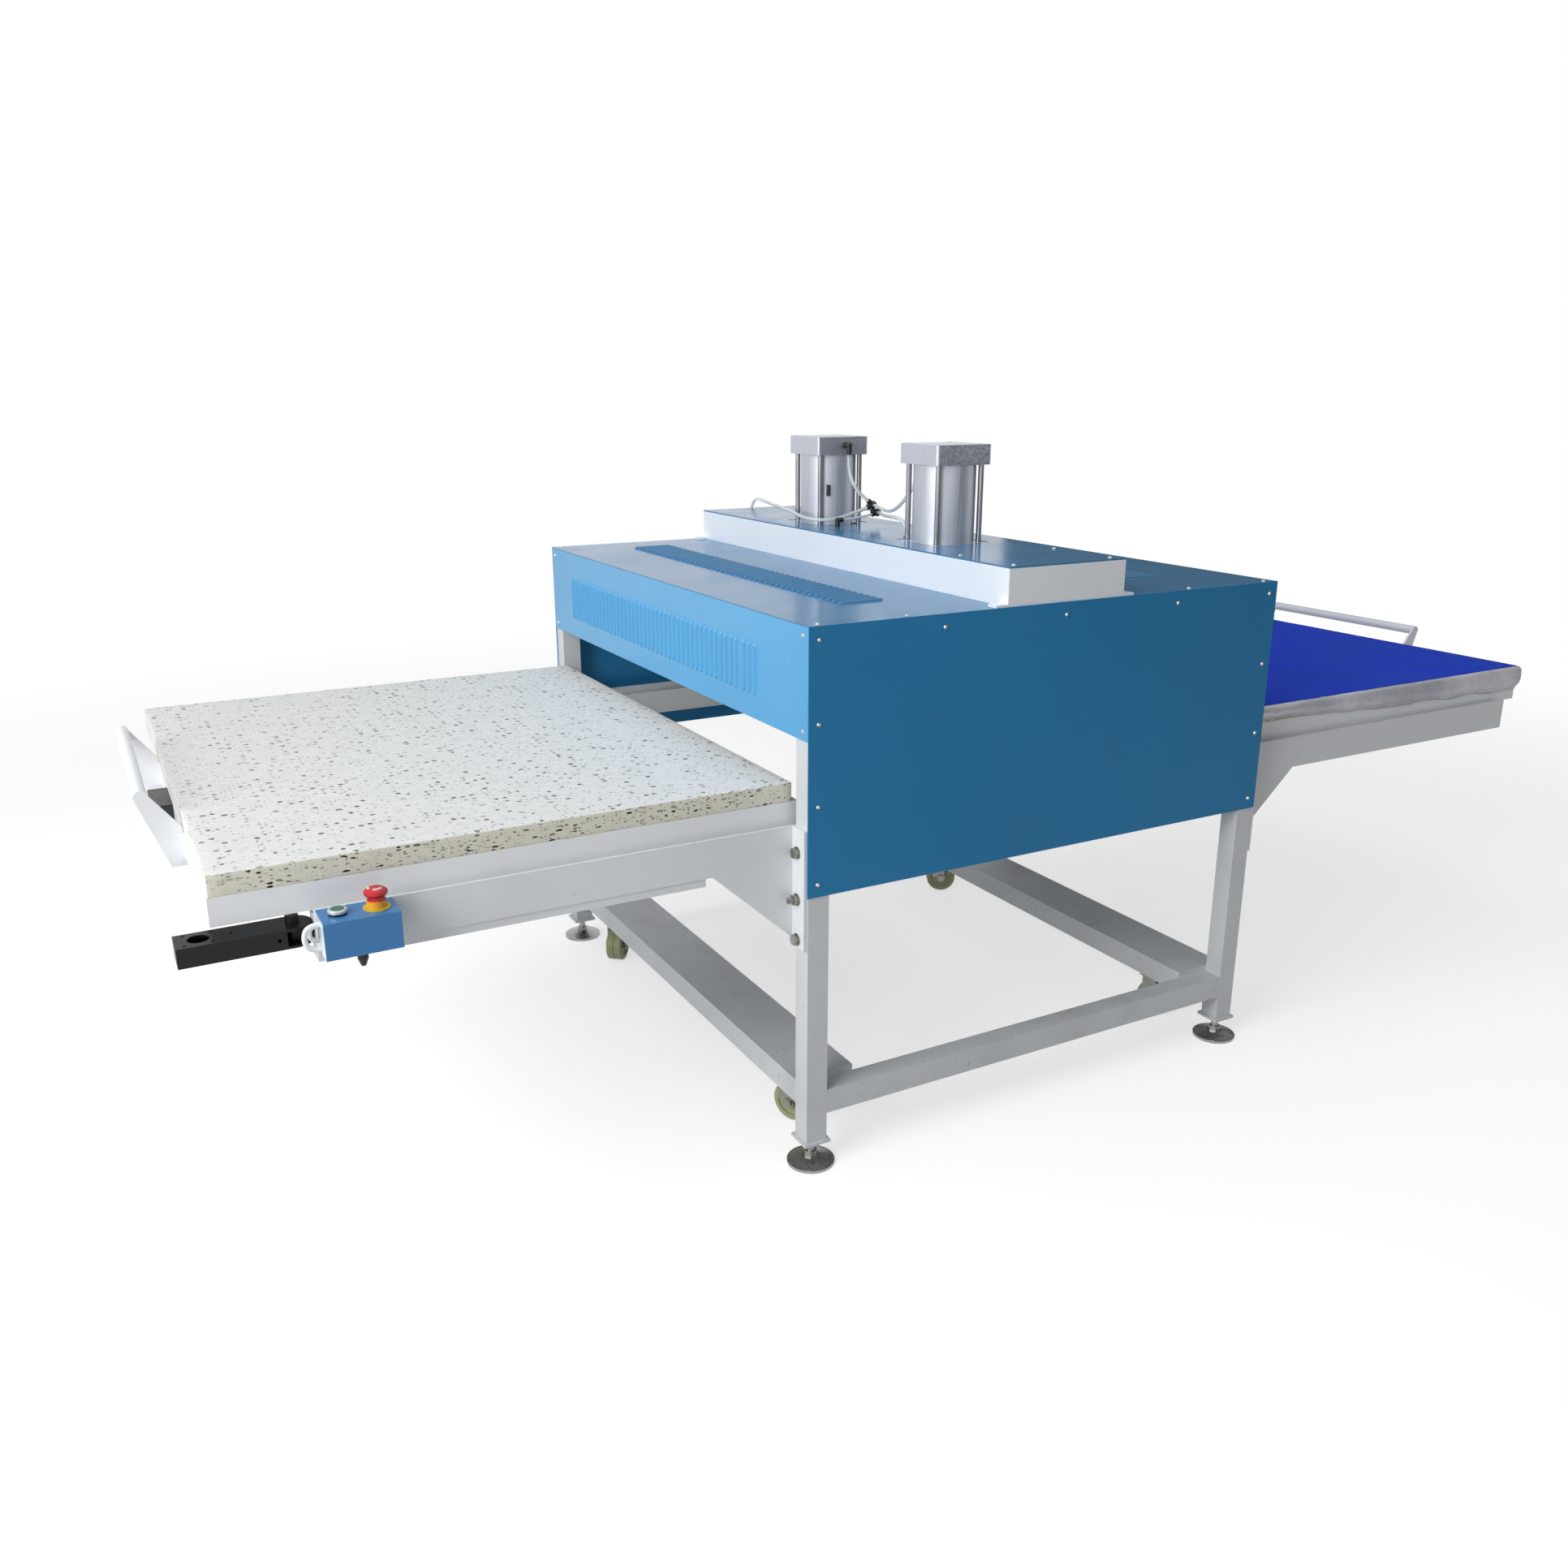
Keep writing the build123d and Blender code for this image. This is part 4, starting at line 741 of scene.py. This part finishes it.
for piece in (sheet, hem):
    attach(piece, "right_table")
    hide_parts("cloth_right")


# Switch box: folded sheet in blue whose end face toward −X is pale, fixed to the near left beam. It holds a
# green start button in a bright bezel, a red stop button on a yellow collar, and a gland below. A piece
# turned in two finishes changes colour at a height.
def zoned(name, axis, limits, colours, gloss, metallic=0.0):
    """A finish that changes colour at given places along one axis."""
    material = bpy.data.materials.new(name)
    material.use_nodes = True
    tree = material.node_tree
    shader = tree.nodes["Principled BSDF"]
    parts = tree.nodes.new("ShaderNodeSeparateXYZ")
    joined(tree, place(tree), parts.inputs[0])
    tint = shade(colours[0])
    for limit, colour in zip(limits, colours[1:]):
        tint = blended(tree, figure(tree, "GREATER_THAN", parts.outputs[axis], limit), tint, shade(colour))
    maker = tree.nodes.new("ShaderNodeGroup")
    maker.node_tree = enamel_group
    maker.inputs["Soil"].default_value = 0.08
    maker.inputs["Gloss"].default_value = gloss
    joined(tree, tint, maker.inputs["Colour"])
    joined(tree, maker.outputs["Colour"], shader.inputs["Base Color"])
    joined(tree, maker.outputs["Roughness"], shader.inputs["Roughness"])
    shader.inputs["Metallic"].default_value = metallic
    return material


box_low, box_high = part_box("control_box")
# The box is pale on its end face toward −X, over the first 0.4 mm of its length, and blue elsewhere.
pale_end_depth, bezel_foot, collar_foot, gland_nut = 0.0004, 0.0036, 0.0016, 0.0062
dress(zoned("box enamel", "X", [box_low[0] + pale_end_depth], ["D5DEE8", "3379B4"], 0.3), "control_box")
dress(zoned("bezel finish", "Z", [box_high[2] + bezel_foot], ["16171A", "D9DADC"], 0.2, 0.4), "button_bezel")
dress(moulding("green cap", "2E6B57", gloss=0.3, soil=0.1), "green_button")
dress(zoned("stop collar", "Z", [box_high[2] + collar_foot], ["C9B52A", "E7A21E"], 0.32), "estop_collar")
dress(moulding("stop red", "C01822", gloss=0.28, soil=0.06), "estop_head")
dress(black, "estop_stem")
dress(zoned("gland finish", "Z", [box_low[2] - gland_nut], ["17171A", "B4B4B0"], 0.3, 0.3), "cable_glands")

# Cable loop: two white leads in spiral wrap, which leave the switch box through its end plate and turn
# back into it. They are in millimetres: radius, then length in metres, distance along Y, and the turns.
box_end = 1000 * box_low[0]
wrap = moulding("spiral wrap", "E4E6E8", gloss=0.35, soil=0.12)
loops = {
    "outer_lead": (4.5, 0.072, -655, [(0, 690), (-18, 690), (-25, 671), (-19, 650), (0, 650)]),
    "inner_lead": (3.5, 0.043, -640, [(0, 683), (-10, 683), (-15, 671), (-10, 658), (0, 658)]),
}
for name, (radius, length, y, turns) in loops.items():
    route = [(box_end + out, y, z) for out, z in turns]
    lead = tube(name, route, radius, wrap)
    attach(lead, "frame")
    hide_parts("cable_loop")

# Stop button's turn marks: three white arrows, printed round the mushroom's dome to show which way it
# is turned to let it go. Each is a thin strip on the dome that ends in a point.
stop_x, stop_y = -1.337, -0.650
stop_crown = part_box("estop_head")[1][2]
stop_dome = 0.0255
mark_radius, mark_wide, mark_turn = 0.0108, 0.0022, 82.0
mark_lift, mark_thick = 0.00025, 0.0003
head_start, head_wide = 0.78, 2.4
print_white = moulding("printed white", "E8E8E6", gloss=0.4, soil=0.0)
bm = bmesh.new()
for n in range(3):
    made = bmesh.ops.create_grid(bm, x_segments=28, y_segments=4, size=0.5)
    for vert in made["verts"]:
        along, across = vert.co.x + 0.5, vert.co.y
        wide = mark_wide
        if along >= head_start:
            wide = head_wide * mark_wide * (1 - along) / (1 - head_start)
        angle = math.radians(120 * n + mark_turn * along)
        reach = mark_radius + wide * across
        height = stop_crown - stop_dome + math.sqrt(stop_dome**2 - reach**2) + mark_lift
        vert.co = Vector((stop_x + reach * math.cos(angle), stop_y + reach * math.sin(angle), height))
marks = surface_piece("turn_marks", bm, print_white, mark_thick)
marks.modifiers["thickness"].offset = -1.0
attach(marks, "stop_head")

# Swivel arm for the control panel: rectangular tube in black powder coat, with a bolt pattern at its end.
# It turns on a post at the near left beam's outer end.
powder = moulding("powder coat", "0D0D0F", gloss=0.42, soil=0.10, soil_colour="303032",
                  fixed={"Specular IOR Level": 0.3})
dress(powder, "swivel_arm", "arm_post")
